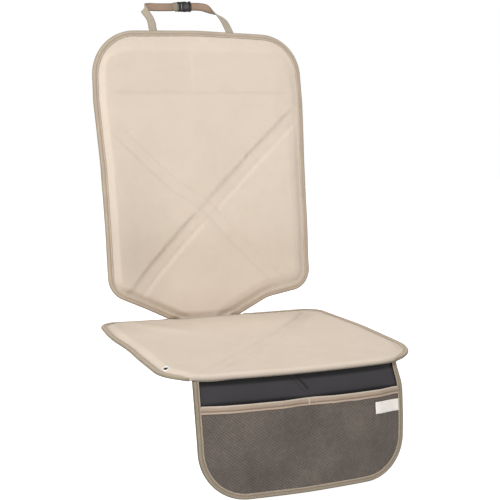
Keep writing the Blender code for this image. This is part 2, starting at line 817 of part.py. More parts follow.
def build_socket():
    start = BUCKLE_LENGTH - SOCKET_LENGTH
    half_width = BUCKLE_WIDTH / 2
    half_thick = BUCKLE_THICKNESS / 2
    home = bpy.data.collections[COLLECTION_NAME]
    low = (start, -half_thick, -half_width)
    high = (BUCKLE_LENGTH, half_thick, half_width)
    socket = add_box("buckle_socket", low, high, home)
    socket.data.materials.append(new_material("buckle_socket_finish", BUCKLE_BLACK, 0.4))
    edges = socket.modifiers.new("round_edges", "BEVEL")
    edges.width = BUCKLE_WALL * 0.6
    edges.segments = 2
    inner_thick = half_thick - BUCKLE_WALL
    inner_width = half_width - BUCKLE_WALL
    cavity_end = start + 0.0115
    cut_away(
        socket,
        (start - BUCKLE_WALL, -inner_thick, -inner_width),
        (cavity_end, inner_thick, inner_width),
    )
    window_start = start + 0.0050
    cut_away(
        socket,
        (window_start, -inner_thick, -half_width - BUCKLE_WALL),
        (cavity_end, inner_thick, half_width + BUCKLE_WALL),
    )
    slot_end = BUCKLE_LENGTH - BUCKLE_WALL
    slot_half = WEBBING_WIDTH / 2 + GAP
    cut_away(
        socket,
        (slot_end - BUCKLE_SLOT, -BUCKLE_THICKNESS, -slot_half),
        (slot_end, BUCKLE_THICKNESS, slot_half),
    )


def build_plug():
    """Base with a webbing slot, a middle guide and two springy arms with hooks."""
    start = BUCKLE_LENGTH - SOCKET_LENGTH
    base_half = BUCKLE_WIDTH / 2 - 0.0006
    arm_out = BUCKLE_WIDTH / 2 - BUCKLE_WALL - GAP
    arm_in = arm_out - 0.0022
    hook_out = BUCKLE_WIDTH / 2 - 0.0004
    hook_start = start + 0.0050 + GAP
    tip = start + 0.0115 - GAP
    guide_half = 0.0016
    half = [
        (0.0, base_half),
        (PLUG_BASE_LENGTH, base_half),
        (start - GAP, arm_out),
        (hook_start, arm_out),
        (hook_start, hook_out),
        (tip - 0.0012, hook_out - 0.0008),
        (tip, arm_in + 0.0006),
        (tip - 0.0020, arm_in),
        (PLUG_BASE_LENGTH, arm_in - 0.0006),
        (PLUG_BASE_LENGTH, guide_half),
        (tip, guide_half),
    ]
    slot_start = 0.0022
    slot_half = WEBBING_WIDTH / 2 + GAP
    slot = [
        (slot_start, slot_half),
        (slot_start + BUCKLE_SLOT, slot_half),
        (slot_start + BUCKLE_SLOT, -slot_half),
        (slot_start, -slot_half),
    ]
    outline = half + [(along, -across) for along, across in reversed(half)]
    curve = bpy.data.curves.new("buckle_plug_outline", "CURVE")
    curve.dimensions = "2D"
    curve.fill_mode = "BOTH"
    curve.extrude = PLUG_THICKNESS / 2
    for points in (outline, slot):
        spline = curve.splines.new("POLY")
        spline.points.add(len(points) - 1)
        spline.use_cyclic_u = True
        for point, (along, across) in zip(spline.points, points):
            point.co = (along, across, 0, 1)
    flat = bpy.data.objects.new("buckle_plug_outline", curve)
    bpy.data.collections[COLLECTION_NAME].objects.link(flat)
    bm = solid_from(flat)
    upright = Matrix.Rotation(math.pi / 2, 3, "X")
    bmesh.ops.rotate(bm, cent=(0, 0, 0), matrix=upright, verts=bm.verts)
    plug = add_object("buckle_plug", mesh_from(bm, "buckle_plug"), BUCKLE_BLACK, 0.4)
    plug.matrix_world = buckle_matrix()


def main():
    clear_scene()
    new_collection(COLLECTION_NAME)
    new_collection(CUTTER_COLLECTION_NAME)
    build_back()
    build_seat()
    build_eyelet()
    build_flap()
    build_pocket()
    build_pocket_tape()
    build_divider()
    build_bar_tack()
    build_label()
    build_strap()
    build_socket()
    build_plug()


main()
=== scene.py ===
import math
import bpy
import numpy as np
from mathutils import Matrix, Vector, kdtree, noise
from mathutils.geometry import delaunay_2d_cdt


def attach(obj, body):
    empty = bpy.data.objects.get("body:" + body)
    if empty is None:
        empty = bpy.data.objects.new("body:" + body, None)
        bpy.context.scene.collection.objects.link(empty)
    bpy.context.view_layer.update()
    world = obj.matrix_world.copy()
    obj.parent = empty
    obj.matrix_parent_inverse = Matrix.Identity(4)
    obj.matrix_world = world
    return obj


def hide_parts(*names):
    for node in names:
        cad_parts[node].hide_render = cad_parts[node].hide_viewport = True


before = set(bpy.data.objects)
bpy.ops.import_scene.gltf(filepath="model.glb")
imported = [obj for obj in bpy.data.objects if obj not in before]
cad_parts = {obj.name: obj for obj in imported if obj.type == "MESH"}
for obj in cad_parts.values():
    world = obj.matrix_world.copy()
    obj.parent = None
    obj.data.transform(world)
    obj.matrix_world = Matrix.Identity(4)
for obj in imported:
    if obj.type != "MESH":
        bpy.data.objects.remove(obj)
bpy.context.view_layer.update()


# Back panel: face cloth over foam
# Beige brushed cloth laid over a thin foam sheet and sewn through it: two double seams
# cross in the middle and one level seam lies above them. The edges are held by the tape.

PAD_TAPE_LAP = 0.0113
EDGE_THICKNESS = 0.0050
PAD_THICKNESS = 0.0075
CROWN_WIDTH = 0.016
PUFF = 0.0018
UNDER_EDGE = 0.0026
UNDER_SWELL = 0.0015
SEAM_HALF_PAIR = 0.0125
GRID = 0.0025

BACK_RECLINE = math.radians(9.3)
BACK_FOOT = np.array((0.0, 0.2370, 0.0042))
BACK_UP = np.array((0.0, math.sin(BACK_RECLINE), math.cos(BACK_RECLINE)))
BACK_FRONT = np.array((0.0, -math.cos(BACK_RECLINE), math.sin(BACK_RECLINE)))
BACK_CENTRE = (0.0, 0.228)
BACK_LEVEL_SEAM = 0.4690
NECK_LEFT = -0.098
NECK_RIGHT = 0.056

FACE_LIGHT = (0.77, 0.665, 0.558)
FACE_DARK = (0.717, 0.61, 0.502)


def unit(vector):
    return vector / np.linalg.norm(vector)


def smooth(values):
    """Smooth step from 0 to 1."""
    values = np.clip(values, 0.0, 1.0)
    return values * values * (3.0 - 2.0 * values)


def resampled(points, spacing, closed=True):
    """The same line with its straight parts cut into pieces no longer than the spacing."""
    line = []
    count = len(points) if closed else len(points) - 1
    for i in range(count):
        start = points[i]
        end = points[(i + 1) % len(points)]
        pieces = max(1, math.ceil(np.linalg.norm(end - start) / spacing))
        line += [start + (end - start) * k / pieces for k in range(pieces)]
    if not closed:
        line.append(points[-1])
    return np.array(line)


def outline_through(corners, spacing=0.0035):
    """Closed line through corners (across, along, radius), each corner made into an arc."""
    points = []
    for i, (across, along, radius) in enumerate(corners):
        here = np.array((across, along))
        before = unit(np.array(corners[i - 1][:2]) - here)
        after = unit(np.array(corners[(i + 1) % len(corners)][:2]) - here)
        turn = math.pi - math.acos(np.clip(before @ after, -1, 1))
        if radius == 0:
            points.append(here)
            continue
        arm = before * radius * math.tan(turn / 2)
        arm -= unit(before + after) * radius / math.cos(turn / 2)
        middle = here + unit(before + after) * radius / math.cos(turn / 2)
        sense = 1 if before[0] * after[1] < before[1] * after[0] else -1
        steps = max(2, round(radius * turn / spacing))
        for k in range(steps + 1):
            sine = math.sin(sense * turn * k / steps)
            cosine = math.cos(sense * turn * k / steps)
            spin = np.array(((cosine, -sine), (sine, cosine)))
            points.append(middle + spin @ arm)
    return resampled(points, spacing)


def left_normals(path, closed):
    """Unit normals on a path's left side."""
    if closed:
        along = np.roll(path, -1, axis=0) - np.roll(path, 1, axis=0)
    else:
        along = np.gradient(path, axis=0)
    along /= np.linalg.norm(along, axis=1)[:, None]
    return np.stack((-along[:, 1], along[:, 0]), axis=1)


def run_lengths(path):
    """How far along a path each of its points lies."""
    steps = np.linalg.norm(np.diff(path, axis=0), axis=1)
    return np.concatenate(((0.0,), np.cumsum(steps)))


def point_tree(points):
    """Finds the nearest of some points on the pattern."""
    tree = kdtree.KDTree(len(points))
    for i, (across, along) in enumerate(points):
        tree.insert((across, along, 0.0), i)
    tree.balance()
    return tree


class EdgeFinder:
    """Finds how far places lie from a line, and how far along the line that is."""

    def __init__(self, path, closed=True):
        path = resampled(path, 0.0015, closed)
        self.lengths = run_lengths(path)
        self.tree = point_tree(path)

    def find(self, points):
        found = [self.tree.find((across, along, 0.0)) for across, along in points]
        return np.array([f[2] for f in found]), self.lengths[[f[1] for f in found]]


def waves(points, size, seed):
    """Slow random waves from about -1 to 1, with swells of a given size."""
    return np.array([noise.noise(Vector((x / size, y / size, seed))) for x, y in points])


def cloth_grid(edge, centre, spacing):
    """Fills a closed edge line with a diagonal grid. Returns its points, with the edge's own
    points first, and its triangles."""
    tree = point_tree(edge)
    low = edge.min(axis=0)
    high = edge.max(axis=0)
    reach = math.ceil(np.linalg.norm(high - low) / spacing)
    steps = np.arange(-reach, reach + 1)
    i, j = np.meshgrid(steps, steps)
    grid = np.stack((i - j, i + j)).reshape(2, -1).T * spacing / 2**0.5 + centre
    grid = grid[(grid > low).all(axis=1) & (grid < high).all(axis=1)]
    clear = [p for p in grid if tree.find((p[0], p[1], 0.0))[2] > 0.6 * spacing]
    points = [Vector(p) for p in edge] + [Vector(p) for p in clear]
    loop = [(k, (k + 1) % len(edge)) for k in range(len(edge))]
    made, _, faces, origins, _, _ = delaunay_2d_cdt(points, loop, [], 1, 1e-7)
    used = sorted({corner for face in faces for corner in face})
    edge_first = sorted(used, key=lambda k: min(origins[k], default=len(points)))
    place = {old: new for new, old in enumerate(edge_first)}
    points = np.array([made[k] for k in edge_first])
    return points, [tuple(place[corner] for corner in face) for face in faces]


def cloth_mesh(name, corners, faces, pattern, painted_shades=None):
    """Mesh from points in space, with the cloth's own pattern kept as its UV map in metres
    and, where given, how much painted shade each point gets, kept as its 'crease' attribute."""
    mesh = bpy.data.meshes.new(name)
    mesh.from_pydata(corners.tolist(), [], faces)
    mesh.validate()
    layer = mesh.uv_layers.new(name="cloth")
    loops = np.empty(len(mesh.loops), dtype=np.int32)
    mesh.loops.foreach_get("vertex_index", loops)
    layer.data.foreach_set("uv", np.asarray(pattern)[loops].ravel().astype(np.float32))
    if painted_shades is not None:
        mesh.attributes.new("crease", "FLOAT", "POINT").data.foreach_set("value", painted_shades)
    mesh.shade_smooth()
    made = bpy.data.objects.new(name, mesh)
    bpy.context.scene.collection.objects.link(made)
    return made


def band(near, far, count):
    """Faces between two closed rows of corners, each row known by the number of its first."""
    following = [(k + 1) % count for k in range(count)]
    return [(near + k, near + after, far + after, far + k) for k, after in enumerate(following)]


def turned_over(faces):
    """Faces that look the other way and still start at the same corner."""
    return [face[:1] + face[:0:-1] for face in faces]


def filled_pad(name, edge, centre, top_height, under_height, lay, roll_out, crease):
    """Closed pad: the sewn face on top, a rounded side with painted shade where the cloth rolls
    out, and a coarser underside. The crease function gives the face's painted shade."""
    top, top_faces = cloth_grid(edge, centre, GRID)
    under, under_faces = cloth_grid(edge, centre, 5 * GRID)
    out = -left_normals(edge, closed=True)
    top_edge = top_height(top)[: len(edge)]
    under_edge = under_height(under)[: len(edge)]
    rows = [(top, top_height(top))]
    for share in (0.2, 0.4, 0.6, 0.8):
        bulge = out * (math.sin(math.pi * share) * roll_out)[:, None]
        rows.append((edge + bulge, top_edge + (under_edge - top_edge) * share))
    rows.append((under, under_height(under)))
    faces = list(top_faces)
    start = 0
    for points, _ in rows[:-1]:
        after = start + len(points)
        faces += band(after, start, len(edge))
        start = after
    faces += [tuple(start + corner for corner in reversed(face)) for face in under_faces]
    pattern = np.concatenate([points for points, _ in rows])
    heights = np.concatenate([height for _, height in rows])
    rolled = roll_out / max(roll_out.max(), 1e-6)
    # Painted shade on the rolled side, darkest where it rolls out most.
    side_painted_shades = [rolled * share for share in (0.7, 0.9, 1.0, 1.0)]
    painted_shades = np.concatenate([0.5 * crease(top), *side_painted_shades, np.zeros(len(under))])
    return cloth_mesh(name, lay(pattern, heights), faces, pattern, painted_shades)


def arm_frame(points, centre, direction, drift):
    """How far points lie along an arm of the quilting, and across from its middle line,
    which drifts aside as listed: (along, aside)."""
    direction = unit(np.array(direction, dtype=float))
    offset = points - np.array(centre)
    along = offset @ direction
    return along, offset @ np.array((-direction[1], direction[0])) - np.interp(along, *zip(*drift))


def sewn_arm(points, centre, direction, drop, climb, drift, strength, seed):
    """One arm of the quilting, a band pressed in between two seams: the height that the
    face loses there, and how sharply it is creased at each seam."""
    along, across = arm_frame(points, centre, direction, drift)
    wander = waves(points, 0.060, seed)
    across = across + 0.0012 * wander
    fade = np.interp(along, *zip(*strength))
    far_wall = smooth((0.0205 - across) / 0.0155)
    near_wall = smooth((-0.0105 - across) / 0.0125)
    recovery = smooth((-0.020 - across) / 0.050)
    loss = drop * far_wall - climb * near_wall - (drop - climb) * recovery
    at_far = np.exp(-(((across - SEAM_HALF_PAIR) / 0.0028) ** 2))
    at_near = np.exp(-(((across + SEAM_HALF_PAIR - 0.002) / 0.0017) ** 2))
    uneven = np.clip(0.8 + 1.1 * waves(points, 0.026, seed + 3.0), 0.15, 1.6)
    pucker = np.sin(2 * math.pi * along / 0.0125 + 9 * wander)
    beside = np.exp(-np.abs(np.abs(across) - SEAM_HALF_PAIR - 0.002) / 0.005)
    loss = loss + drop * (0.14 * (at_far + at_near) * uneven + 0.10 * pucker * beside * uneven)
    return loss * fade, (at_far + 0.6 * at_near) * uneven * fade


BACK_OUTLINE = outline_through(
    [
        (NECK_RIGHT, 0.0, 0),
        (0.122, 0.0325, 0.080),
        (0.2240, 0.0500, 0.048),
        (0.2260, 0.320, 0.4),
        (0.2285, 0.450, 0.15),
        (0.2245, 0.5915, 0.090),
        (0.090, 0.5965, 0.3),
        (-0.010, 0.6000, 0.5),
        (-0.100, 0.5980, 0.3),
        (-0.2315, 0.5935, 0.095),
        (-0.2340, 0.450, 0.15),
        (-0.2262, 0.320, 0.4),
        (-0.2235, 0.0600, 0.048),
        (-0.150, 0.0260, 0.1),
        (NECK_LEFT, 0.0, 0),
    ]
)


def taped_part(outline, level):
    """The part of an outline from its rightmost to its leftmost point at a level."""
    ends = [i for i, point in enumerate(outline) if abs(point[1] - level) < 1e-6]
    right = max(ends, key=lambda i: outline[i][0])
    left = min(ends, key=lambda i: outline[i][0])
    return outline[right : left + 1]


BACK_TAPE_LINE = taped_part(BACK_OUTLINE, 0.0)
BACK_SIDES = EdgeFinder(
    np.concatenate(
        (
            BACK_TAPE_LINE[:1] - (BACK_TAPE_LINE[1] - BACK_TAPE_LINE[0]) * 8,
            BACK_TAPE_LINE,
            BACK_TAPE_LINE[-1:] + (BACK_TAPE_LINE[-1] - BACK_TAPE_LINE[-2]) * 8,
        )
    ),
    closed=False,
)


def lay_back(points, heights):
    """Puts the back's pattern on its reclined plane, with edges that roll to the rear."""
    across, up = points.T
    right = smooth((across + 0.05) / 0.10)
    depth = 0.005 * (1 - smooth((up - 0.50) / 0.08)) * (1 - 0.5 * smooth((up - 0.28) / 0.14))
    roll = depth * (1 - smooth((BACK_SIDES.find(points)[0] - PAD_TAPE_LAP) / (0.016 + 0.014 * right)))
    above_neck = np.maximum(up - 0.013, 0.0)
    bulge = 0.004 * np.sin(math.pi * np.minimum(above_neck / 0.180, 1.0)) ** 2
    left_bend = (0.0095 - 0.004 * smooth((up - 0.15) / 0.2)) * smooth((-across - 0.05) / 0.17)
    lift = heights - PAD_THICKNESS / 2 - roll - bulge + left_bend
    aside = points[:, :1] * np.array((1.0, 0.0, 0.0))
    return BACK_FOOT + aside + points[:, 1:] * BACK_UP + lift[:, None] * BACK_FRONT


def edge_relief(points, finder, fullness, width):
    """How far the foam has reached its full height, and what its edge adds: it stands proud
    inside the tape and is gathered where the tape holds it."""
    inside, along = finder.find(points)
    from_tape = inside - PAD_TAPE_LAP
    ridge = 0.0017 * smooth((from_tape - 0.001) / 0.014) * (1 - smooth((from_tape - 0.018) / 0.045))
    wander = waves(points, 0.07, 3.1)
    gather = 0.00028 * np.sin(2 * math.pi * along / 0.017 + 5 * wander)
    gather *= np.exp(-np.maximum(from_tape, 0.0) / 0.008) * (from_tape > -0.002)
    return smooth(from_tape / width), ridge * fullness + gather


# Each arm's line, and how hard its seams pull: (along, aside) and (along, strength).
STRONG_DRIFT = (
    *((-0.25, -0.0040), (-0.22, 0.0), (-0.17, 0.0022), (-0.05, 0.0026)),
    *((0.04, 0.0003), (0.15, -0.0022), (0.25, -0.0062), (0.285, -0.010)),
)
STRONG_PULL = (
    *((-0.285, 0.0), (-0.25, 0.8), (-0.15, 1.25), (-0.10, 1.15), (-0.045, 0.9), (-0.025, 0.25)),
    *((0.005, 0.3), (0.03, 0.8), (0.10, 1.0), (0.15, 1.15), (0.21, 0.95), (0.265, 0.8), (0.30, 0.0)),
)
FAINT_DRIFT = (
    *((-0.24, 0.010), (-0.07, 0.009), (-0.01, 0.003)),
    *((0.03, 0.006), (0.09, 0.0185), (0.25, 0.0195)),
)
FAINT_PULL = (
    *((-0.25, 0.0), (-0.20, 1.0), (-0.06, 0.9), (-0.02, 1.6)),
    *((0.03, 0.8), (0.18, 1.6), (0.23, 1.3), (0.26, 0.0)),
)


def back_arms(points):
    strong = sewn_arm(points, BACK_CENTRE, (1, 1), 0.0027, 0.0018, STRONG_DRIFT, STRONG_PULL, 1.7)
    faint = sewn_arm(points, BACK_CENTRE, (-1, 1), 0.0010, 0.0009, FAINT_DRIFT, FAINT_PULL, 5.3)
    return strong, faint


def level_seam(points):
    up = points[:, 1] - BACK_LEVEL_SEAM + 0.0006 * waves(points, 0.09, 2.9)
    fade = 1 - smooth((np.abs(points[:, 0]) - 0.170) / 0.040)
    return fade, up


def back_face_height(points):
    across, up = points.T
    low_left = smooth((-across - 0.02) / 0.15) * (1 - 0.85 * smooth((up - 0.28) / 0.12))
    right = smooth((across - 0.02) / 0.15) * (0.45 + 0.75 * smooth((up - 0.28) / 0.14))
    near_top = smooth((up - 0.53) / 0.05)
    width = CROWN_WIDTH - 0.003 * low_left + 0.036 * near_top
    crown, relief = edge_relief(points, BACK_SIDES, (low_left - right) * (1 - near_top), width)
    strong, faint = back_arms(points)
    fade, from_level = level_seam(points)
    level_loss = 0.0010 * np.exp(-np.abs(from_level) / 0.006) * fade
    fold = 0.0005 * smooth((across + 0.026) / 0.008) * smooth((up - 0.475) / 0.03)
    fold = fold * (1 - smooth((up - 0.54) / 0.03)) * (1 - smooth((across + 0.018) / 0.05))
    swell = 0.0011 * waves(points, 0.130, 7.7) + 0.0005 * waves(points, 0.045, 2.2)
    swell = swell + 0.00018 * waves(points, 0.018, 6.4)
    loss = np.maximum(strong[0] + faint[0] * (1 - strong[1]), level_loss)
    rise = PAD_THICKNESS - EDGE_THICKNESS + PUFF - loss + swell + fold
    foot = smooth((up + 0.001) / 0.0155)
    return EDGE_THICKNESS + foot * (crown * rise + relief)


# Painted shade on the back's face, kept as its 'crease' attribute: along the quilting seams, stronger
# lower down, along the level seam, at the foot, and broadly towards the low left and the bottom.
def back_painted_shade(points):
    strong, faint = back_arms(points)
    fade, from_level = level_seam(points)
    level = 0.33 * np.exp(-((from_level / np.where(from_level > 0, 0.0014, 0.0062)) ** 2)) * fade
    foot = 0.12 * (1 - smooth((points[:, 1] - 0.005) / 0.014))
    lower = 1.2 - 0.5 * smooth((points[:, 1] - 0.15) / 0.2)
    painted_low_shade = 0.22 * smooth((-points[:, 0] - 0.07) / 0.09) * (1 - smooth((points[:, 1] - 0.20) / 0.20))
    painted_low_shade = painted_low_shade + 0.10 * (1 - smooth((points[:, 1] - 0.10) / 0.15))
    return np.clip(0.20 * strong[1] * lower + 0.07 * faint[1] + 0.5 * level + foot + painted_low_shade, 0, 1)


def back_under_height(points):
    crown = smooth((BACK_SIDES.find(points)[0] - PAD_TAPE_LAP) / CROWN_WIDTH)
    return UNDER_EDGE - UNDER_SWELL * crown


def node_adder(tree):
    """A short way to add nodes. Inputs are given by name, or by number as i0, i1, i2."""

    def add(kind, settings=None, **inputs):
        node = tree.nodes.new("ShaderNode" + kind)
        for key, value in (settings or {}).items():
            setattr(node, key, value)
        for key, value in inputs.items():
            socket = node.inputs[int(key[1:]) if key[1:].isdigit() else key]
            if isinstance(value, bpy.types.NodeSocket):
                tree.links.new(value, socket)
            else:
                socket.default_value = value
        return node

    return add


def new_finish(name):
    """A new finish, its node adder, and what its textures follow: the cloth's own pattern and
    the place on the object."""
    made = bpy.data.materials.new(name)
    made.use_nodes = True
    add = node_adder(made.node_tree)
    return made, add, add("UVMap", {"uv_map": "cloth"}).outputs[0], add("TexCoord").outputs["Object"]


def finished(made, colour, values, height=None, strength=0.0, depth=0.0):
    """The finish with its colour, its surface values and its fine relief."""
    tree = made.node_tree
    shader = tree.nodes["Principled BSDF"]
    tree.links.new(colour, shader.inputs["Base Color"])
    if height is not None:
        bump = node_adder(tree)("Bump", Height=height, Strength=strength, Distance=depth)
        tree.links.new(bump.outputs[0], shader.inputs["Normal"])
    for key, value in values.items():
        shader.inputs[key].default_value = value
    return made


def worked_out(add, operation, *values):
    """A sum worked out on numbers and on what other nodes give."""
    inputs = {f"i{number}": value for number, value in enumerate(values)}
    return add("Math", {"operation": operation}, **inputs).outputs[0]


def ranged(add, value, low, high, start=0.0, end=1.0):
    """What goes from low to high, made to go from start to end."""
    limits = {"From Min": low, "From Max": high, "To Min": start, "To Max": end}
    return add("MapRange", Value=value, **limits).outputs[0]


def clouds(add, place, scale, detail=2.0, roughness=0.5):
    """Random patches, from 0 to 1."""
    return add("TexNoise", Vector=place, Scale=scale, Detail=detail, Roughness=roughness).outputs[0]


def thread_waves(add, place, pitch, direction="X"):
    """Fine even bands, one for each thread."""
    settings = {"wave_type": "BANDS", "bands_direction": direction, "wave_profile": "SIN"}
    uneven = {"Distortion": 0.35, "Detail": 1.0, "Detail Scale": 0.3}
    return add("TexWave", settings, Vector=place, Scale=math.pi / 10 / pitch, **uneven).outputs["Fac"]


def plain_weave(add, pattern, pitch):
    """Threads both ways, which stand proud where they cross."""
    warp = thread_waves(add, pattern, pitch, "X")
    return worked_out(add, "MULTIPLY", warp, thread_waves(add, pattern, pitch, "Y"))


def blend(add, share, low, high):
    """A colour between two others."""
    ends = [end if isinstance(end, bpy.types.NodeSocket) else (*end, 1.0) for end in (low, high)]
    return add("Mix", {"data_type": "RGBA"}, i0=share, i6=ends[0], i7=ends[1]).outputs[2]


def tint(add, colour, share, low, high):
    """A colour made a little darker or lighter, between two strengths."""
    strength = ranged(add, share, 0.0, 1.0, low, high)
    return add("VectorMath", {"operation": "SCALE"}, i0=colour, Scale=strength).outputs[0]


def brushed_cloth(name, light, dark, pitch):
    """Brushed plain weave: faint threads, slow patches of darker and lighter tone, a short soft
    nap, and painted shade from the 'crease' attribute.
    """
    made, add, pattern, place = new_finish(name)
    weave = plain_weave(add, pattern, pitch)
    nap = clouds(add, place, 900.0, 3.0, 0.7)
    colour = blend(add, clouds(add, place, 9.0, 3.0, 0.55), dark, light)
    colour = tint(add, colour, clouds(add, place, 45.0, 4.0, 0.6), 0.96, 1.04)
    colour = tint(add, colour, weave, 0.97, 1.03)
    colour = tint(add, colour, nap, 0.96, 1.04)
    # Painted shade: the 'crease' attribute darkens the cloth in the seams, the folds and other shaded
    # places.
    painted_shade = add("Attribute", {"attribute_name": "crease"}).outputs["Fac"]
    colour = tint(add, colour, painted_shade, 1.0, 0.32)
    height = worked_out(add, "MULTIPLY_ADD", nap, 0.6, weave)
    values = {"Roughness": 0.92, "Specular IOR Level": 0.08}
    values |= {"Sheen Weight": 0.03, "Sheen Roughness": 0.5}
    return finished(made, colour, values, height, 0.35, 0.0002)


def under_tape(outline, foot):
    """Where the cloth and foam end: inside the tape, and a little past the seam at the foot,
    the only stretch with no tape."""
    inset = np.where(outline[:, 1] < foot, -0.0015, 0.0014)
    return outline + left_normals(outline, True) * inset[:, None]


face_cloth = brushed_cloth("face_cloth", FACE_LIGHT, FACE_DARK, 0.0009)

BACK_LAYER = under_tape(BACK_OUTLINE, 1e-6)
back_pad = filled_pad(
    "back_pad",
    BACK_LAYER,
    BACK_CENTRE,
    back_face_height,
    back_under_height,
    lay_back,
    np.zeros(len(BACK_LAYER)),
    back_painted_shade,
)
back_pad.data.materials.append(face_cloth)
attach(back_pad, "root")
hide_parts("back_face_fabric", "back_foam")


# Back panel: grip backing
# Charcoal coated cloth on the rear side, with small raised dots that keep the mat in place.

BACKING_CLOTH = 0.0009
BACKING_GRID = 0.008
BACKING_GAP = 0.0002
CHARCOAL_LIGHT = (0.075, 0.075, 0.080)
CHARCOAL_DARK = (0.050, 0.050, 0.054)


def cloth_sheet(name, edge, centre, spacing, height, lay, thickness, crease=None):
    """One layer of cloth over a pattern, with its own thickness."""
    points, faces = cloth_grid(edge, centre, spacing)
    # The crease function, where given, gives the sheet's painted shade.
    painted_shades = crease(points) if crease else None
    made = cloth_mesh(name, lay(points, height(points)), faces, points, painted_shades)
    body = made.modifiers.new("cloth_thickness", "SOLIDIFY")
    body.thickness = thickness
    body.offset = -1.0
    return made


def dotted_cloth(name, light, dark):
    """Coated cloth with rows of small raised dots."""
    made, add, pattern, place = new_finish(name)
    cells = add("TexVoronoi", {"feature": "F1"}, Vector=pattern, Scale=170.0, Randomness=0.0)
    dots = ranged(add, cells.outputs["Distance"], 0.22, 0.34, 1.0, 0.0)
    weave = plain_weave(add, pattern, 0.0012)
    colour = blend(add, clouds(add, place, 14.0, 3.0), dark, light)
    colour = tint(add, tint(add, colour, weave, 0.85, 1.1), dots, 1.0, 1.35)
    height = worked_out(add, "MULTIPLY_ADD", weave, 0.2, dots)
    return finished(made, colour, {"Roughness": 0.7}, height, 0.6, 0.0005)


grip_cloth = dotted_cloth("grip_cloth", CHARCOAL_LIGHT, CHARCOAL_DARK)

back_backing = cloth_sheet(
    "back_backing",
    BACK_LAYER,
    BACK_CENTRE,
    BACKING_GRID,
    lambda p: back_under_height(p) - BACKING_GAP,
    lay_back,
    BACKING_CLOTH,
)
back_backing.data.materials.append(grip_cloth)
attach(back_backing, "root")
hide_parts("back_grip_backing")


# Back panel: edge tape
# Brown-grey ribbed tape folded over the cut edges in one length, from one side of the neck
# to the other, and sewn down near its inner edge.

TAPE_CLOTH = 0.0009
TAPE_LIGHT = (0.53, 0.44, 0.345)
TAPE_DARK = (0.42, 0.335, 0.255)
STITCH_SHARE = 0.82


def folded_section(low, high, lap, under_lap):
    """Section of a tape folded over an edge, as (inwards, height) points: its outside from
    the upper inner edge round the fold to the lower one, and back on its inside."""
    outside = []
    inside = []
    nose = 0.0026
    radius = (high - low) / 2
    middle = (high + low) / 2
    for share in (1.0, 0.93, 0.88, STITCH_SHARE, 0.76, 0.66, 0.5, 0.34):
        groove = 0.00055 * math.exp(-(((share - STITCH_SHARE) / 0.05) ** 2))
        swell = 0.0003 * math.sin(math.pi * share)
        outside.append((lap * share, high + swell - groove))
        inside.append((lap * share, high + swell - groove - TAPE_CLOTH))
    for k in range(9):
        angle = math.pi / 2 + math.pi * k / 8
        out = 1 + math.cos(angle)
        outside.append((nose * out, middle + radius * math.sin(angle)))
        inner_radius = radius - TAPE_CLOTH
        depth = TAPE_CLOTH + (nose - TAPE_CLOTH) * out
        inside.append((depth, middle + inner_radius * math.sin(angle)))
    for share in (0.4, 0.7, 1.0):
        outside.append((under_lap * share, low))
        inside.append((under_lap * share, low + TAPE_CLOTH))
    return outside + inside[::-1]


def tube(rows, count, start=0):
    """Faces of a tube of closed rows of corners, and of its two ends."""
    faces = []
    for row in range(start, start + (rows - 1) * count, count):
        faces += band(row, row + count, count)
    last = start + (rows - 1) * count
    return faces + [tuple(range(start, start + count))[::-1], tuple(range(last, last + count))]


def tape_strip(name, path, section, lay, seed, level=None, tapered=False):
    """Folded tape whose fold follows a path that has the cloth on its left. It ends on a
    level, or narrows at its ends where they are tucked under."""
    normals = left_normals(path, closed=False)
    lengths = run_lengths(path)
    drift = np.array([noise.noise(Vector((s / 0.06, seed, 0.0))) for s in lengths])
    ripple = np.array([noise.noise(Vector((s / 0.018, seed, 4.0))) for s in lengths])
    pattern = []
    heights = []
    maps = []
    for (depth, height), around in zip(section, run_lengths(np.array(section))):
        wander = depth + (0.0006 * drift + 0.0003 * ripple) * min(depth / 0.006, 1.0)
        if tapered:
            from_end = np.minimum(lengths, lengths[-1] - lengths)
            wander = wander * (0.25 + 0.75 * smooth(from_end / 0.022))
        line = path + normals * wander[:, None]
        if level is not None:
            for end, side in ((0, path[1] - path[0]), (-1, path[-1] - path[-2])):
                line[end] += side * (level - line[end][1]) / side[1]
        pattern.append(line)
        heights.append(height + 0.00025 * ripple * (depth > 0.001))
        maps.append(np.stack((lengths, np.full(len(path), around)), axis=1))
    across = np.stack(pattern, axis=1).reshape(-1, 2)
    levels = np.stack(heights, axis=1).reshape(-1)
    maps = np.stack(maps, axis=1).reshape(-1, 2)
    return cloth_mesh(name, lay(across, levels), tube(len(path), len(section)), maps)


def shade_of(colour, share):
    return tuple(channel * share for channel in colour)


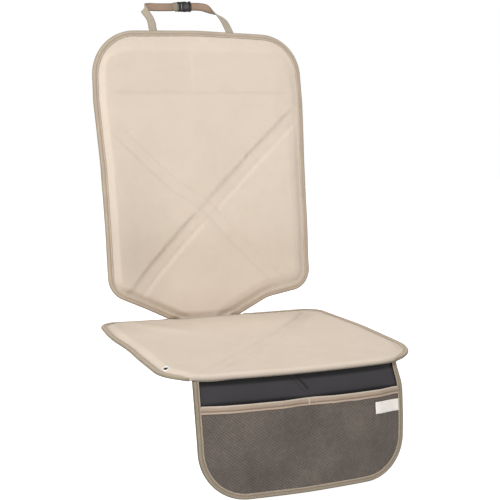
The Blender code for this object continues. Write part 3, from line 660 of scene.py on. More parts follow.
def ribbed_tape(name, light, dark, edge, width):
    """Narrow woven tape: ribs across it, a paler band along its inner edge, a strip of painted shade
    in the groove where the seam pulls it in, and the fold colour where it folds over the edge:
    painted shade on the panels' and the flap's tapes, a painted highlight on the pocket's."""
    made, add, pattern, place = new_finish(name)
    ribs = thread_waves(add, pattern, 0.0014, "X")
    yarns = thread_waves(add, pattern, 0.0011, "Y")
    weave = worked_out(add, "MULTIPLY_ADD", yarns, 0.5, ribs)
    around = add("SeparateXYZ", Vector=pattern).outputs[1]
    shifted = worked_out(add, "MULTIPLY_ADD", clouds(add, place, 55.0), 0.0016, around)
    stripes = add("ValToRGB", i0=ranged(add, shifted, 0.0, 1.5 * width))
    pale = shade_of(light, 1.22)
    deep = shade_of(edge, 0.72)
    # The dark step is painted shade in the stitch groove, and the edge and deep steps paint the fold's
    # light and shade as given by the caller.
    steps = [(0.0, pale), (0.16, pale), (0.27, dark), (0.42, light), (0.56, light), (0.70, edge)]
    steps += [(0.86, deep), (1.0, deep)]
    points = stripes.color_ramp.elements
    while len(points) < len(steps):
        points.new(0.5)
    for point, (position, colour) in zip(points, steps):
        point.position = position
        point.color = (*colour, 1.0)
    colour = tint(add, stripes.outputs[0], clouds(add, place, 24.0, 4.0, 0.6), 0.88, 1.12)
    colour = tint(add, colour, weave, 0.88, 1.06)
    colour = tint(add, colour, clouds(add, place, 420.0), 0.9, 1.1)
    values = {"Roughness": 0.85, "Specular IOR Level": 0.15, "Sheen Weight": 0.05}
    return finished(made, colour, values, weave, 0.7, 0.0003)


# The back and seat tapes' fold is painted darker as painted shade, and TAPE_DARK is their stitch
# groove's painted shade.
TAPE_FOLD_SHADE = (0.36, 0.30, 0.215)
edge_tape = ribbed_tape("edge_tape", TAPE_LIGHT, TAPE_DARK, TAPE_FOLD_SHADE, PAD_TAPE_LAP)
PAD_SECTION = folded_section(0.0003, 0.0062, PAD_TAPE_LAP, 0.0130)

back_tape = tape_strip("back_tape", BACK_TAPE_LINE, PAD_SECTION, lay_back, 1.3, level=0.0012)
back_tape.data.materials.append(edge_tape)
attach(back_tape, "root")
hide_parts("back_edge_binding")


# Back panel: sewing
# Single stitches of twisted polyester thread. One row holds the edge tape down, and the
# quilting seams go through face cloth, foam and backing.

STITCH_PITCH = 0.0042
PAD_STITCH_HEIGHT = 0.0060
QUILT_THREAD = 0.0005
QUILT_LIFT = 0.0001


def stitches(name, lines, facing, length=0.0027, width=0.0007):
    """Rows of single stitches, each a small bar of thread that dips at both ends, along lines
    in space on cloth that faces one way."""
    corners = []
    faces = []
    maps = []
    for line in lines:
        lengths = run_lengths(line)
        for start in np.arange(0.002, lengths[-1] - length, STITCH_PITCH):
            ends = [
                np.array([np.interp(s, lengths, line[:, axis]) for axis in range(3)])
                for s in (start, start + length / 2, start + length)
            ]
            along = unit(ends[2] - ends[0])
            side = unit(np.cross(facing, along))
            up = np.cross(along, side)
            base = len(corners)
            for number, middle in enumerate(ends):
                thick = width / 2 * (1.0 if number == 1 else 0.45)
                for k in range(6):
                    angle = math.pi * k / 3
                    rim = side * math.cos(angle) + up * math.sin(angle) * 0.8
                    corners.append(middle + rim * thick)
                    maps.append((number * length / 2, k * 0.0003))
            faces += tube(3, 6, base)
    return cloth_mesh(name, np.array(corners), faces, maps)


def sewing_thread(name, colour):
    """Twisted polyester thread."""
    made, add, pattern, place = new_finish(name)
    turned = add("Mapping", Vector=pattern, Rotation=(0, 0, math.radians(40))).outputs[0]
    dyed = blend(add, clouds(add, place, 60.0), shade_of(colour, 0.85), colour)
    tone = tint(add, dyed, thread_waves(add, turned, 0.0004), 0.85, 1.1)
    return finished(made, tone, {"Roughness": 0.6, "Sheen Weight": 0.1})


def tape_seam(path, lap, height, lay, level=None):
    """The line of the stitches along a tape that laps so far over the cloth."""
    line = resampled(path + left_normals(path, False) * lap * STITCH_SHARE, 0.003, closed=False)
    if level is not None:
        line = line[line[:, 1] > level]
    return lay(line, np.full(len(line), height))


def quilt_seams(centre, direction, drift, reaches, height, lay):
    """The two seam lines of one arm of the quilting."""
    direction = unit(np.array(direction, dtype=float))
    side = np.array((-direction[1], direction[0]))
    spots = np.arange(reaches[0], reaches[1], 0.004)
    lines = []
    for offset in (-SEAM_HALF_PAIR, SEAM_HALF_PAIR):
        aside = np.interp(spots, *zip(*drift)) + offset
        line = np.array(centre) + aside[:, None] * side + spots[:, None] * direction
        lines.append(lay(line, height(line) + QUILT_LIFT))
    return lines


tape_thread = sewing_thread("tape_thread", (0.60, 0.51, 0.41))
face_thread = sewing_thread("face_thread", (0.62, 0.53, 0.43))

back_tape_seam = tape_seam(BACK_TAPE_LINE, PAD_TAPE_LAP, PAD_STITCH_HEIGHT, lay_back, 0.002)
back_stitches = stitches("back_stitches", [back_tape_seam], BACK_FRONT)
back_stitches.data.materials.append(tape_thread)
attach(back_stitches, "root")

level_spots = np.arange(-0.19, 0.19, 0.004)
level_line = np.stack((level_spots, np.full(len(level_spots), BACK_LEVEL_SEAM)), axis=1)
back_seams = [
    *quilt_seams(BACK_CENTRE, (1, 1), STRONG_DRIFT, (-0.25, 0.28), back_face_height, lay_back),
    *quilt_seams(BACK_CENTRE, (-1, 1), FAINT_DRIFT, (-0.235, 0.262), back_face_height, lay_back),
    lay_back(level_line, back_face_height(level_line) + QUILT_LIFT),
]
back_quilting = stitches("back_quilting", back_seams, BACK_FRONT, width=QUILT_THREAD)
back_quilting.data.materials.append(face_thread)
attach(back_quilting, "root")


# Seat panel: face cloth over foam
# Made like the back panel and sewn to it at the neck. Its left side sags a little, its rear
# left corner stands up, and the cloth rolls over the front edge with no tape.

SEAT_REAR_EDGE = 0.2370
SEAT_CENTRE = (0.0, 0.247)
SEAT_DEPTH = 0.4710
FRONT_BOW = 0.013


def front_edge(across):
    """How far the seat's front edge lies in front of its rear edge."""
    return SEAT_DEPTH + FRONT_BOW * (1 - (across / 0.190) ** 2)


FRONT_STATIONS = (0.100, 0.075, 0.050, 0.025, 0.0, -0.03, -0.06, -0.09, -0.12, -0.138)
SEAT_OUTLINE = outline_through(
    [
        (0.0, 0.0, 0),
        (0.2310, 0.0, 0.040),
        (0.2455, 0.190, 0.4),
        (0.2440, 0.300, 0.4),
        (0.2400, 0.4700, 0.130),
        *[(across, front_edge(across), 0) for across in FRONT_STATIONS],
        (-0.2440, 0.4730, 0.092),
        (-0.2475, 0.300, 0.4),
        (-0.2450, 0.160, 0.3),
        (-0.2510, 0.085, 0.2),
        (-0.2495, -0.0030, 0.036),
        (-0.110, -0.0015, 0.2),
    ]
)
SEAT_EDGE = EdgeFinder(SEAT_OUTLINE)


def lay_seat(points, heights):
    across, forward = points.T
    left = smooth((-across - 0.100) / 0.130)
    sag = -0.0045 * left * np.exp(-(((forward - 0.140) / 0.065) ** 2))
    raised = 0.0022 * left * np.exp(-((forward / 0.035) ** 2))
    return np.stack((across, SEAT_REAR_EDGE - forward, heights + sag + raised), axis=1)


def open_front(points):
    """1 along the front edge, where there is no tape."""
    near_front = smooth((points[:, 1] - 0.42) / 0.03)
    return near_front * (1 - smooth((np.abs(points[:, 0]) - 0.195) / 0.02))


def seat_fold(points):
    """The soft fold that runs forward from the rear left corner."""
    line = points - np.array((-0.205, 0.014))
    direction = unit(np.array((0.104, 0.137)))
    along = line @ direction
    across = line @ np.array((-direction[1], direction[0]))
    strength = smooth(along / 0.03) * (1 - smooth((along - 0.10) / 0.10))
    return 0.0032 * np.exp(-((across / 0.017) ** 2)) * strength


SEAT_DRIFT = (
    *((-0.26, 0.004), (-0.21, -0.005), (-0.16, -0.0105), (-0.11, -0.0155)),
    *((-0.06, -0.0205), (0.0, -0.024), (0.28, -0.024)),
)
SEAT_PULL = (
    *((-0.29, 0.0), (-0.265, 0.9), (-0.20, 1.0), (-0.135, 0.75)),
    *((-0.11, 0.25), (0.0, 0.22), (0.2, 0.1), (0.26, 0.0)),
)


def seat_arm(points):
    return sewn_arm(points, SEAT_CENTRE, (-1, 1), 0.0034, 0.0028, SEAT_DRIFT, SEAT_PULL, 9.2)


def seat_trough(points):
    """The broad dip along the arm, on the rear right half of the seat."""
    along, across = arm_frame(points, SEAT_CENTRE, (-1, 1), SEAT_DRIFT)
    return np.exp(-((across / 0.015) ** 2)) * (1 - 0.8 * smooth((along + 0.16) / 0.06))


def seat_face_height(points):
    across, forward = points.T
    fullness = 0.55 - 0.5 * smooth((across + 0.1) / 0.2)
    rear = (1 - smooth((forward - 0.03) / 0.03)) * smooth((across - NECK_RIGHT) / 0.03)
    crown, relief = edge_relief(points, SEAT_EDGE, fullness, CROWN_WIDTH + 0.024 * rear)
    inside = SEAT_EDGE.find(points)[0]
    bare = open_front(points)
    neck = (1 - smooth((forward - 0.035) / 0.02)) * (across > NECK_LEFT) * (across < NECK_RIGHT)
    crown = crown * (1 - bare) + smooth(inside / 0.018) * bare
    crown = crown * (1 - neck) + smooth(forward / 0.038) * neck
    swell = 0.0014 * waves(points, 0.150, 4.4) + 0.0006 * waves(points, 0.050, 8.1)
    loss = seat_arm(points)[0] + 0.0010 * seat_trough(points)
    rise = PAD_THICKNESS - EDGE_THICKNESS + PUFF - loss + swell + seat_fold(points)
    return EDGE_THICKNESS + crown * rise + relief * (1 - bare) * (1 - neck)


# Painted shade on the seat's face, kept as its 'crease' attribute: at the seam beside the neck, on the
# bare front rim, along the arm and its trough, and along the rear.
def seat_painted_shade(points):
    beside_neck = smooth((points[:, 0] - NECK_LEFT) / 0.01) * smooth((NECK_RIGHT - points[:, 0]) / 0.01)
    seam = np.exp(-np.maximum(points[:, 1] - 0.009, 0) / 0.011) * beside_neck
    rim = open_front(points) * (1 - smooth(SEAT_EDGE.find(points)[0] / 0.011))
    folds = 0.20 * seat_arm(points)[1] + 0.12 * seat_trough(points)
    folds = folds + 0.34 * (1 - smooth((points[:, 1] - 0.040) / 0.100))
    return np.clip(folds + 1.1 * seam + rim, 0, 1)


def seat_under_height(points):
    inside = SEAT_EDGE.find(points)[0]
    crown = smooth((inside - PAD_TAPE_LAP) / CROWN_WIDTH)
    lip = 0.0011 + 0.0011 * smooth((np.abs(points[:, 0]) - 0.13) / 0.04)
    lip = lip * open_front(points) * (1 - smooth((inside - 0.002) / 0.003))
    return UNDER_EDGE - UNDER_SWELL * crown - lip


SEAT_LAYER = under_tape(SEAT_OUTLINE, -1.0)
seat_pad = filled_pad(
    "seat_pad",
    SEAT_LAYER,
    SEAT_CENTRE,
    seat_face_height,
    seat_under_height,
    lay_seat,
    0.0018 * open_front(SEAT_LAYER),
    seat_painted_shade,
)
seat_pad.data.materials.append(face_cloth)
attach(seat_pad, "root")
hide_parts("seat_face_fabric", "seat_foam")

SEAT_UP = np.array((0.0, 0.0, 1.0))
seat_seams = quilt_seams(SEAT_CENTRE, (-1, 1), SEAT_DRIFT, (-0.285, 0.270), seat_face_height, lay_seat)
seat_quilting = stitches("seat_quilting", seat_seams, SEAT_UP, width=QUILT_THREAD)
seat_quilting.data.materials.append(face_thread)
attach(seat_quilting, "root")


# Seat panel: grip backing
# The same charcoal dotted cloth as behind the back panel; the mat lies on it.

SEAT_UNDER_LAYER = SEAT_OUTLINE + left_normals(SEAT_OUTLINE, True) * 0.0050
seat_backing = cloth_sheet(
    "seat_backing",
    SEAT_UNDER_LAYER,
    SEAT_CENTRE,
    BACKING_GRID,
    lambda p: seat_under_height(p) - BACKING_GAP,
    lay_seat,
    BACKING_CLOTH,
)
seat_backing.data.materials.append(grip_cloth)
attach(seat_backing, "root")
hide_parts("seat_grip_backing")


# Seat panel: edge tapes
# One length on each side, from beside the neck round the rear corner and along the side to
# the front corner, where its end is tucked under.

side_points = [point for point in SEAT_OUTLINE if point[1] < front_edge(point[0]) - 0.0075]
seat_right_line = np.array([point for point in side_points if point[0] > NECK_RIGHT + 0.004])
seat_left_line = np.array([point for point in side_points if point[0] < NECK_LEFT - 0.004])

for side, line, seed in (("right", seat_right_line, 6.1), ("left", seat_left_line, 8.6)):
    seat_tape = tape_strip("seat_tape_" + side, line, PAD_SECTION, lay_seat, seed, tapered=True)
    seat_tape.data.materials.append(edge_tape)
    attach(seat_tape, "root")
    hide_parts("seat_binding_" + side)

seat_tape_seams = [
    tape_seam(line, PAD_TAPE_LAP, PAD_STITCH_HEIGHT, lay_seat)
    for line in (seat_right_line, seat_left_line)
]
seat_stitches = stitches("seat_stitches", seat_tape_seams, SEAT_UP)
seat_stitches.data.materials.append(tape_thread)
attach(seat_stitches, "root")


# Eyelet
# A small pressed metal ring through the face cloth, beside the tape at the front left.

EYELET_PLACE = np.array((-0.2260, 0.3960))
EYELET_FACING = unit(np.array((-0.30, -0.36, 1.0)))
EYELET_RADIUS = 0.0070
EYELET_WIRE = 0.0018
EYELET_HOLE = 0.0048
HOLE_SIDES = 24


def coated_metal(name, colour):
    """Painted metal with small worn spots."""
    made, add, _, place = new_finish(name)
    patches_and_painted_highlight = blend(add, clouds(add, place, 500.0, 3.0), shade_of(colour, 0.7), colour)
    return finished(made, patches_and_painted_highlight, {"Metallic": 0.6, "Roughness": 0.4})


def on_slope(across, along, out):
    """A place in the eyelet's own plane."""
    side = unit(np.cross((0.0, 1.0, 0.0), EYELET_FACING))
    return side * across + np.cross(EYELET_FACING, side) * along + EYELET_FACING * out


def ring(name, centre, radius, wire):
    """Flattened ring."""
    corners = []
    faces = []
    turns, sides = 40, 12
    for i in range(turns):
        heading = 2 * math.pi * i / turns
        for k in range(sides):
            angle = 2 * math.pi * k / sides
            reach = radius - wire + wire * math.cos(angle)
            out = wire * 0.7 * math.sin(angle)
            across, along = math.cos(heading) * reach, math.sin(heading) * reach
            corners.append(centre + on_slope(across, along, out))
        faces += turned_over(band(i * sides, (i + 1) % turns * sides, sides))
    return cloth_mesh(name, np.array(corners), faces, np.array(corners)[:, :2])


eyelet_height = seat_face_height(EYELET_PLACE[None])[0]
eyelet_centre = lay_seat(EYELET_PLACE[None], np.array([eyelet_height + 0.0008]))[0]
# The ring's near-white colour is a painted highlight.
eyelet_metal = coated_metal("eyelet_metal", (0.90, 0.87, 0.82))
eyelet = ring("eyelet", eyelet_centre, EYELET_RADIUS, EYELET_WIRE)
eyelet.data.materials.append(eyelet_metal)
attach(eyelet, "root")
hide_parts("corner_eyelet")

hole_corners = [
    eyelet_centre + on_slope(math.cos(a) * EYELET_HOLE, math.sin(a) * EYELET_HOLE, 0.0002)
    for a in np.linspace(0, 2 * math.pi, HOLE_SIDES, endpoint=False)
]
eyelet_hole = cloth_mesh(
    "eyelet_hole",
    np.array(hole_corners + [eyelet_centre]),
    [(k, (k + 1) % HOLE_SIDES, HOLE_SIDES) for k in range(HOLE_SIDES)],
    np.zeros((HOLE_SIDES + 1, 2)),
)
# Painted shade: a near-black disc stands for the shade inside the ring's hole.
hole_shade = dotted_cloth("hole_shade", (0.012, 0.010, 0.008), (0.007, 0.006, 0.005))
eyelet_hole.data.materials.append(hole_shade)
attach(eyelet_hole, "root")


# Pocket flap: backing
# Charcoal cloth sewn under the seat's front edge, from where it hangs down. It is creased
# once near the middle.

FLAP_TILT = math.radians(4.66)
FLAP_SHIFT = -0.0085
FLAP_HEM = 0.2065
FLAP_TOP = 0.0030
FLAP_CLOTH = 0.0008
FLAP_DOWN = np.array((0.0, -math.sin(FLAP_TILT), -math.cos(FLAP_TILT)))
FLAP_FRONT = np.array((0.0, -math.cos(FLAP_TILT), math.sin(FLAP_TILT)))

FLAP_TAPE_LAP = 0.0105
FLAP_CLOTH_INSET = 0.0012
FLAP_OUTLINE = outline_through(
    [
        (0.0, FLAP_TOP, 0),
        (0.1835, FLAP_TOP, 0),
        (0.1905, 0.045, 0.2),
        (0.1900, 0.110, 0.4),
        (0.1830, 0.2020, 0.078),
        (0.100, 0.2045, 0.5),
        (0.0, FLAP_HEM, 0.5),
        (-0.060, FLAP_HEM, 0.5),
        (-0.1875, 0.2050, 0.086),
        (-0.1900, 0.100, 0.5),
        (-0.1935, FLAP_TOP, 0),
    ]
)
FLAP_TAPE_LINE = taped_part(FLAP_OUTLINE, FLAP_TOP)
FLAP_EDGE = EdgeFinder(FLAP_TAPE_LINE, closed=False)


def lay_flap(points, heights):
    across = points[:, 0] + FLAP_SHIFT
    down = points[:, 1]
    flattening = 1 - 0.6 * down / FLAP_HEM
    bow = (front_edge(0.0) - front_edge(across)) * flattening
    bow = bow + 0.010 * smooth((across - 0.135) / 0.050) * (1 - smooth(down / 0.050))
    rear = SEAT_REAR_EDGE - front_edge(0.0) + 0.008 + bow
    ripple = 0.0012 * np.sin(across / 0.060 + 1.0) * smooth(down / 0.12)
    top = np.stack((across, rear - ripple, np.full(len(points), PAD_THICKNESS / 2)), axis=1)
    return top + down[:, None] * FLAP_DOWN + heights[:, None] * FLAP_FRONT


def from_flap_crease(points):
    """How far right of the flap's one crease, which leans to the right on its way down."""
    return points[:, 0] + 0.0175 - 0.024 * (points[:, 1] - 0.011) / 0.026


def flap_face_height(points):
    """Slack cloth with the crease in it."""
    strength = 1 - smooth((points[:, 1] - 0.028) / 0.016)
    crease = 0.0046 * np.exp(-((from_flap_crease(points) / 0.0050) ** 2)) * strength
    slack = 0.0009 * waves(points, 0.060, 6.6)
    return FLAP_CLOTH + (crease + slack) * smooth((FLAP_EDGE.find(points)[0] - FLAP_TAPE_LAP) / 0.02)


def flap_painted_shade(points):
    """Painted shade for where the flap lies in shade: under the seat's edge, beside its tape,
    behind the pockets and on the far side of its crease."""
    under_edge = 1 - smooth((points[:, 1] - 0.0105) / 0.0050)
    beside = 0.6 * (1 - smooth((FLAP_EDGE.find(points)[0] - FLAP_TAPE_LAP - 0.0004) / 0.0022))
    behind = 0.7 * smooth((points[:, 1] - 0.0395) / 0.004)
    fold = 0.75 * np.exp(-(((from_flap_crease(points) - 0.0042) / 0.0024) ** 2))
    fold = fold * (points[:, 1] < 0.030)
    return np.clip(np.maximum(np.maximum(under_edge, beside), np.maximum(behind, fold)), 0, 1)


def plain_cloth(name, light, dark, pitch):
    """Dense smooth weave with a dull shine, and painted shade from its 'crease' attribute."""
    made, add, pattern, place = new_finish(name)
    weave = plain_weave(add, pattern, pitch)
    colour = tint(add, blend(add, clouds(add, place, 16.0, 4.0), dark, light), weave, 0.85, 1.12)
    # Painted shade: the 'crease' attribute darkens the flap under the seat's edge, by its tape, behind
    # the pockets and by its crease.
    shaded = add("Attribute", {"attribute_name": "crease"}).outputs["Fac"]
    colour = tint(add, colour, shaded, 1.0, 0.12)
    return finished(made, colour, {"Roughness": 0.6, "Specular IOR Level": 0.2}, weave, 0.4, 0.0002)


flap_cloth = plain_cloth("flap_cloth", (0.052, 0.048, 0.0525), (0.037, 0.0345, 0.037), 0.0008)
FLAP_LAYER = FLAP_OUTLINE + left_normals(FLAP_OUTLINE, True) * FLAP_CLOTH_INSET
# Between its tapes the cloth goes a little farther up, behind the seat's rolled edge.
between_tapes = (FLAP_LAYER[:, 1] < FLAP_TOP + 0.002) & (np.abs(FLAP_LAYER[:, 0]) < 0.17)
FLAP_LAYER[between_tapes, 1] -= 0.0030
flap_sheet = cloth_sheet(
    "flap_sheet", FLAP_LAYER, (0.0, 0.1), 0.0025, flap_face_height, lay_flap, FLAP_CLOTH, flap_painted_shade
)
flap_sheet.data.materials.append(flap_cloth)
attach(flap_sheet, "root")
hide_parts("flap_backing")


# Pocket mesh
# Brown-grey knitted mesh over the flap, sewn in at the sides, the hem and down the middle,
# so that it stands away from the flap as two shallow pockets.

MESH_CLOTH = 0.0006
MESH_EDGE_HEIGHT = 0.0023
POCKET_TOP = 0.0450
DIVIDER = 0.004
MESH_PITCH = 0.0041


def divider_at(down):
    """The sewn line between the pockets leans a little."""
    return DIVIDER + 0.003 * (1 - 2 * (down - POCKET_TOP) / (FLAP_HEM - POCKET_TOP))


def mesh_height(points):
    across, down = points.T
    from_tape, along = FLAP_EDGE.find(points)
    from_tape = from_tape - FLAP_TAPE_LAP
    from_divider = np.abs(across - divider_at(down))
    pouch = smooth(from_tape / 0.045) * smooth((from_divider - 0.003) / 0.050)
    slump = 0.8 + 0.35 * smooth((down - 0.06) / 0.10)
    tucks = np.sin(2 * math.pi * down / 0.021 + 6 * waves(points, 0.05, 1.1))
    tucks = 0.0007 * tucks * np.exp(-from_divider / 0.016) * smooth(from_divider / 0.004)
    gather = 0.0003 * np.sin(2 * math.pi * along / 0.013) * np.exp(-np.maximum(from_tape, 0) / 0.008)
    folds = 0.0026 * waves(points * np.array((1.0, 0.6)), 0.046, 3.9)
    folds += 0.0009 * waves(points, 0.022, 9.9)
    soft = smooth(from_tape / 0.03)
    height = 0.0090 * pouch * slump + (folds * pouch + tucks) * soft + gather * soft
    return MESH_EDGE_HEIGHT + height


def knitted_mesh(name, thread, hole, pitch):
    """Fine mesh: two sets of slanting threads with small dark holes, and patches of painted sheen."""
    made, add, pattern, place = new_finish(name)
    sets = []
    for angle in (52, -38):
        turned = add("Mapping", Vector=pattern, Rotation=(0, 0, math.radians(angle))).outputs[0]
        sets.append(thread_waves(add, turned, pitch))
    net = worked_out(add, "MAXIMUM", *sets)
    colour = blend(add, ranged(add, net, 0.35, 0.85), hole, thread)
    # Painted sheen: broad patches make the mesh lighter and darker.
    colour = tint(add, colour, clouds(add, place, 13.0, 4.0, 0.6), 0.45, 1.55)
    colour = tint(add, colour, clouds(add, place, 160.0, 3.0), 0.72, 1.28)
    values = {"Roughness": 0.7, "Specular IOR Level": 0.25, "Sheen Weight": 0.04}
    return finished(made, colour, values, net, 0.6, 0.0004)


pocket_knit = knitted_mesh("pocket_knit", (0.133, 0.110, 0.093), (0.072, 0.059, 0.051), MESH_PITCH)
mesh_line = FLAP_OUTLINE + left_normals(FLAP_OUTLINE, True) * FLAP_CLOTH_INSET
mesh_line = mesh_line[mesh_line[:, 1] > POCKET_TOP + 0.001]
MESH_LAYER = resampled(mesh_line, 0.0035)
pocket_net = cloth_sheet(
    "pocket_net",
    MESH_LAYER,
    (0.0, 0.1),
    0.0028,
    lambda p: mesh_height(p) + MESH_CLOTH,
    lay_flap,
    MESH_CLOTH,
)
pocket_net.data.materials.append(pocket_knit)
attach(pocket_net, "root")
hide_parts("pocket_mesh")


# Pocket top tape
# The same ribbed tape, folded over the mesh's upper edge across both pockets.

POCKET_TAPE_WIDTH = 0.0128
TOP_SECTION = folded_section(-0.0012, MESH_CLOTH + 0.0012, POCKET_TAPE_WIDTH, POCKET_TAPE_WIDTH)
TOP_STATIONS = np.arange(-0.1815, 0.1840, 0.0035)


def lay_on_mesh(points, heights):
    return lay_flap(points, heights + mesh_height(points))


# The same tape painted darker as painted shade, with a darker painted shade in its stitch groove and a
# painted highlight on its upper fold.
POCKET_TAPE_SHADED = (0.44, 0.335, 0.26)
TAPE_GROOVE_SHADE = (0.24, 0.185, 0.135)
POCKET_FOLD_HIGHLIGHT = (0.60, 0.52, 0.43)
pocket_ribbing = ribbed_tape(
    "pocket_ribbing", POCKET_TAPE_SHADED, TAPE_GROOVE_SHADE, POCKET_FOLD_HIGHLIGHT, POCKET_TAPE_WIDTH
)
top_line = np.stack((-TOP_STATIONS, np.full(len(TOP_STATIONS), POCKET_TOP)), axis=1)[::-1]
pocket_tape = tape_strip("pocket_tape", top_line, TOP_SECTION, lay_on_mesh, 2.7)
pocket_tape.data.materials.append(pocket_ribbing)
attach(pocket_tape, "root")
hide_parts("pocket_top_binding")


# Sewn line between the pockets
# Brown thread through mesh and flap, with a short dense bar of pale stitches across the top
# tape.

divider_downs = np.arange(POCKET_TOP + POCKET_TAPE_WIDTH, FLAP_HEM - FLAP_TAPE_LAP, 0.004)
divider_line = np.stack((divider_at(divider_downs), divider_downs), axis=1)
divider_thread = stitches(
    "divider_thread",
    [lay_flap(divider_line, mesh_height(divider_line) + MESH_CLOTH + 0.0003)],
    FLAP_FRONT,
    length=0.0030,
    width=0.0009,
)
divider_thread.data.materials.append(sewing_thread("brown_thread", (0.085, 0.068, 0.058)))
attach(divider_thread, "root")
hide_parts("pocket_divider_thread")

tack_downs = np.arange(POCKET_TOP + 0.0015, POCKET_TOP + POCKET_TAPE_WIDTH - 0.001, 0.0007)
tack_lines = []
for number, down in enumerate(tack_downs):
    lean = 0.0002 * (-1) ** number
    pair = np.array(((-0.0014, down - lean), (0.0014, down + lean))) + (divider_at(down), 0.0)
    left, right = lay_flap(pair, mesh_height(pair) + MESH_CLOTH + 0.0015)
    tack_lines.append(np.stack((left * 2 - right, left, right, right * 2 - left)))
bar_tack = stitches("bar_tack", tack_lines, FLAP_FRONT, length=0.0032, width=0.0008)
bar_tack.data.materials.append(sewing_thread("pale_thread", (0.72, 0.66, 0.56)))
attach(bar_tack, "root")
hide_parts("pocket_bar_tack")


# Pocket flap: edge tape
# Ribbed tape round the flap's sides and hem, over both the backing and the mesh.

# The same tape painted darker as painted shade, with painted shade in its stitch groove and on its
# fold.
FLAP_TAPE_SHADED = (0.33, 0.275, 0.21)
FLAP_FOLD_SHADE = (0.17, 0.148, 0.105)
flap_ribbing = ribbed_tape("flap_ribbing", FLAP_TAPE_SHADED, TAPE_GROOVE_SHADE, FLAP_FOLD_SHADE, FLAP_TAPE_LAP)
FLAP_SECTION = folded_section(-0.0012, 0.0041, FLAP_TAPE_LAP, FLAP_TAPE_LAP)
flap_tape = tape_strip("flap_tape", FLAP_TAPE_LINE, FLAP_SECTION, lay_flap, 5.5, level=FLAP_TOP)
flap_tape.data.materials.append(flap_ribbing)
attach(flap_tape, "root")
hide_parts("flap_edge_binding")

flap_stitches = stitches(
    "flap_stitches",
    [
        tape_seam(FLAP_TAPE_LINE, FLAP_TAPE_LAP, 0.0039, lay_flap),
        tape_seam(top_line, POCKET_TAPE_WIDTH, 0.0016, lay_on_mesh),
    ],
    FLAP_FRONT,
)
flap_stitches.data.materials.append(tape_thread)
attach(flap_stitches, "root")


# Label
# Blank off-white woven label, its right end caught under the edge tape.

LABEL_LENGTH = 0.0530
LABEL_WIDTH = 0.0205
LABEL_CENTRE = np.array((0.1550, 0.0765))
LABEL_TILT = math.radians(1.5)


def satin_label(name, colour):
    """Close satin weave with a few duller marks, made to glow a little: painted light that brightens
    the label.
    """
    made, add, pattern, place = new_finish(name)
    rows = thread_waves(add, pattern, 0.0007, "Y")
    marked = blend(add, clouds(add, place, 90.0, 4.0), shade_of(colour, 0.86), colour)
    white = tint(add, marked, rows, 0.94, 1.03)
    tree = made.node_tree
    # Painted light: the label glows a little, though it is no lamp.
    tree.links.new(white, tree.nodes["Principled BSDF"].inputs["Emission Color"])
    return finished(made, white, {"Roughness": 0.6, "Emission Strength": 0.10}, rows, 0.3, 0.0001)


sine, cosine = math.sin(LABEL_TILT), math.cos(LABEL_TILT)
label_turn = np.array(((cosine, -sine), (sine, cosine)))
columns, rows = 22, 10
label_flat = np.array(
    [(x, y) for y in np.linspace(-0.5, 0.5, rows + 1) for x in np.linspace(-0.5, 0.5, columns + 1)]
) * (LABEL_LENGTH, LABEL_WIDTH)
label_points = label_flat @ label_turn.T + LABEL_CENTRE
free_end = smooth((-label_flat[:, 0] - 0.004) / 0.018)
curl = 0.0016 * free_end + 0.0004 * np.sin(label_flat[:, 1] / 0.0035) * free_end
label_faces = [
    (a, a + 1, a + columns + 2, a + columns + 1)
    for row in range(rows)
    for a in range(row * (columns + 1), row * (columns + 1) + columns)
]
label_heights = mesh_height(label_points) + MESH_CLOTH + 0.0008 + curl
label = cloth_mesh("label", lay_flap(label_points, label_heights), label_faces, label_flat)
label.modifiers.new("cloth_thickness", "SOLIDIFY").thickness = 0.0004
label.data.materials.append(satin_label("label_satin", (0.84, 0.79, 0.735)))
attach(label, "root")
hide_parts("pocket_label")


# Headrest strap
# Beige-grey woven webbing in two lengths. Each is sewn flat behind the panel's top edge,
# twists on its way up and back, and runs to one half of the buckle.

WEBBING_WIDTH = 0.0168
WEBBING = 0.0014
RUN_LEAN = math.radians(8)


def webbing_finish(name, light, dark, selvedge):
    """Herringbone webbing with darker selvedges."""
    made, add, pattern, place = new_finish(name)
    parts = add("SeparateXYZ", Vector=pattern)
    aside = worked_out(add, "ABSOLUTE", parts.outputs[1])
    slant = worked_out(add, "PINGPONG", aside, 0.0020)
    shifted = worked_out(add, "ADD", parts.outputs[0], slant)
    bone = thread_waves(add, add("CombineXYZ", X=shifted, Y=0.0).outputs[0], 0.0013)
    colour = tint(add, blend(add, clouds(add, place, 30.0, 3.0), dark, light), bone, 0.84, 1.08)
    colour = tint(add, colour, ranged(add, aside, 0.0058, 0.0076), 1.0, selvedge)
    return finished(made, colour, {"Roughness": 0.8, "Sheen Weight": 0.1}, bone, 0.7, 0.0003)


def smooth_route(route, steps=8):
    """Stations on one smooth curve through a route's own stations."""
    knots = [np.array(station, dtype=float) for station in route]
    knots = [knots[0] * 2 - knots[1]] + knots + [knots[-1] * 2 - knots[-2]]
    line = []
    for a, b, c, d in zip(knots, knots[1:], knots[2:], knots[3:]):
        for k in range(steps):
            t = k / steps
            bend = (2 * a - 5 * b + 4 * c - d) * t**2 + (3 * b - a - 3 * c + d) * t**3
            line.append(b + ((c - a) * t + bend) / 2)
    line.append(knots[-2])
    return np.array(line)


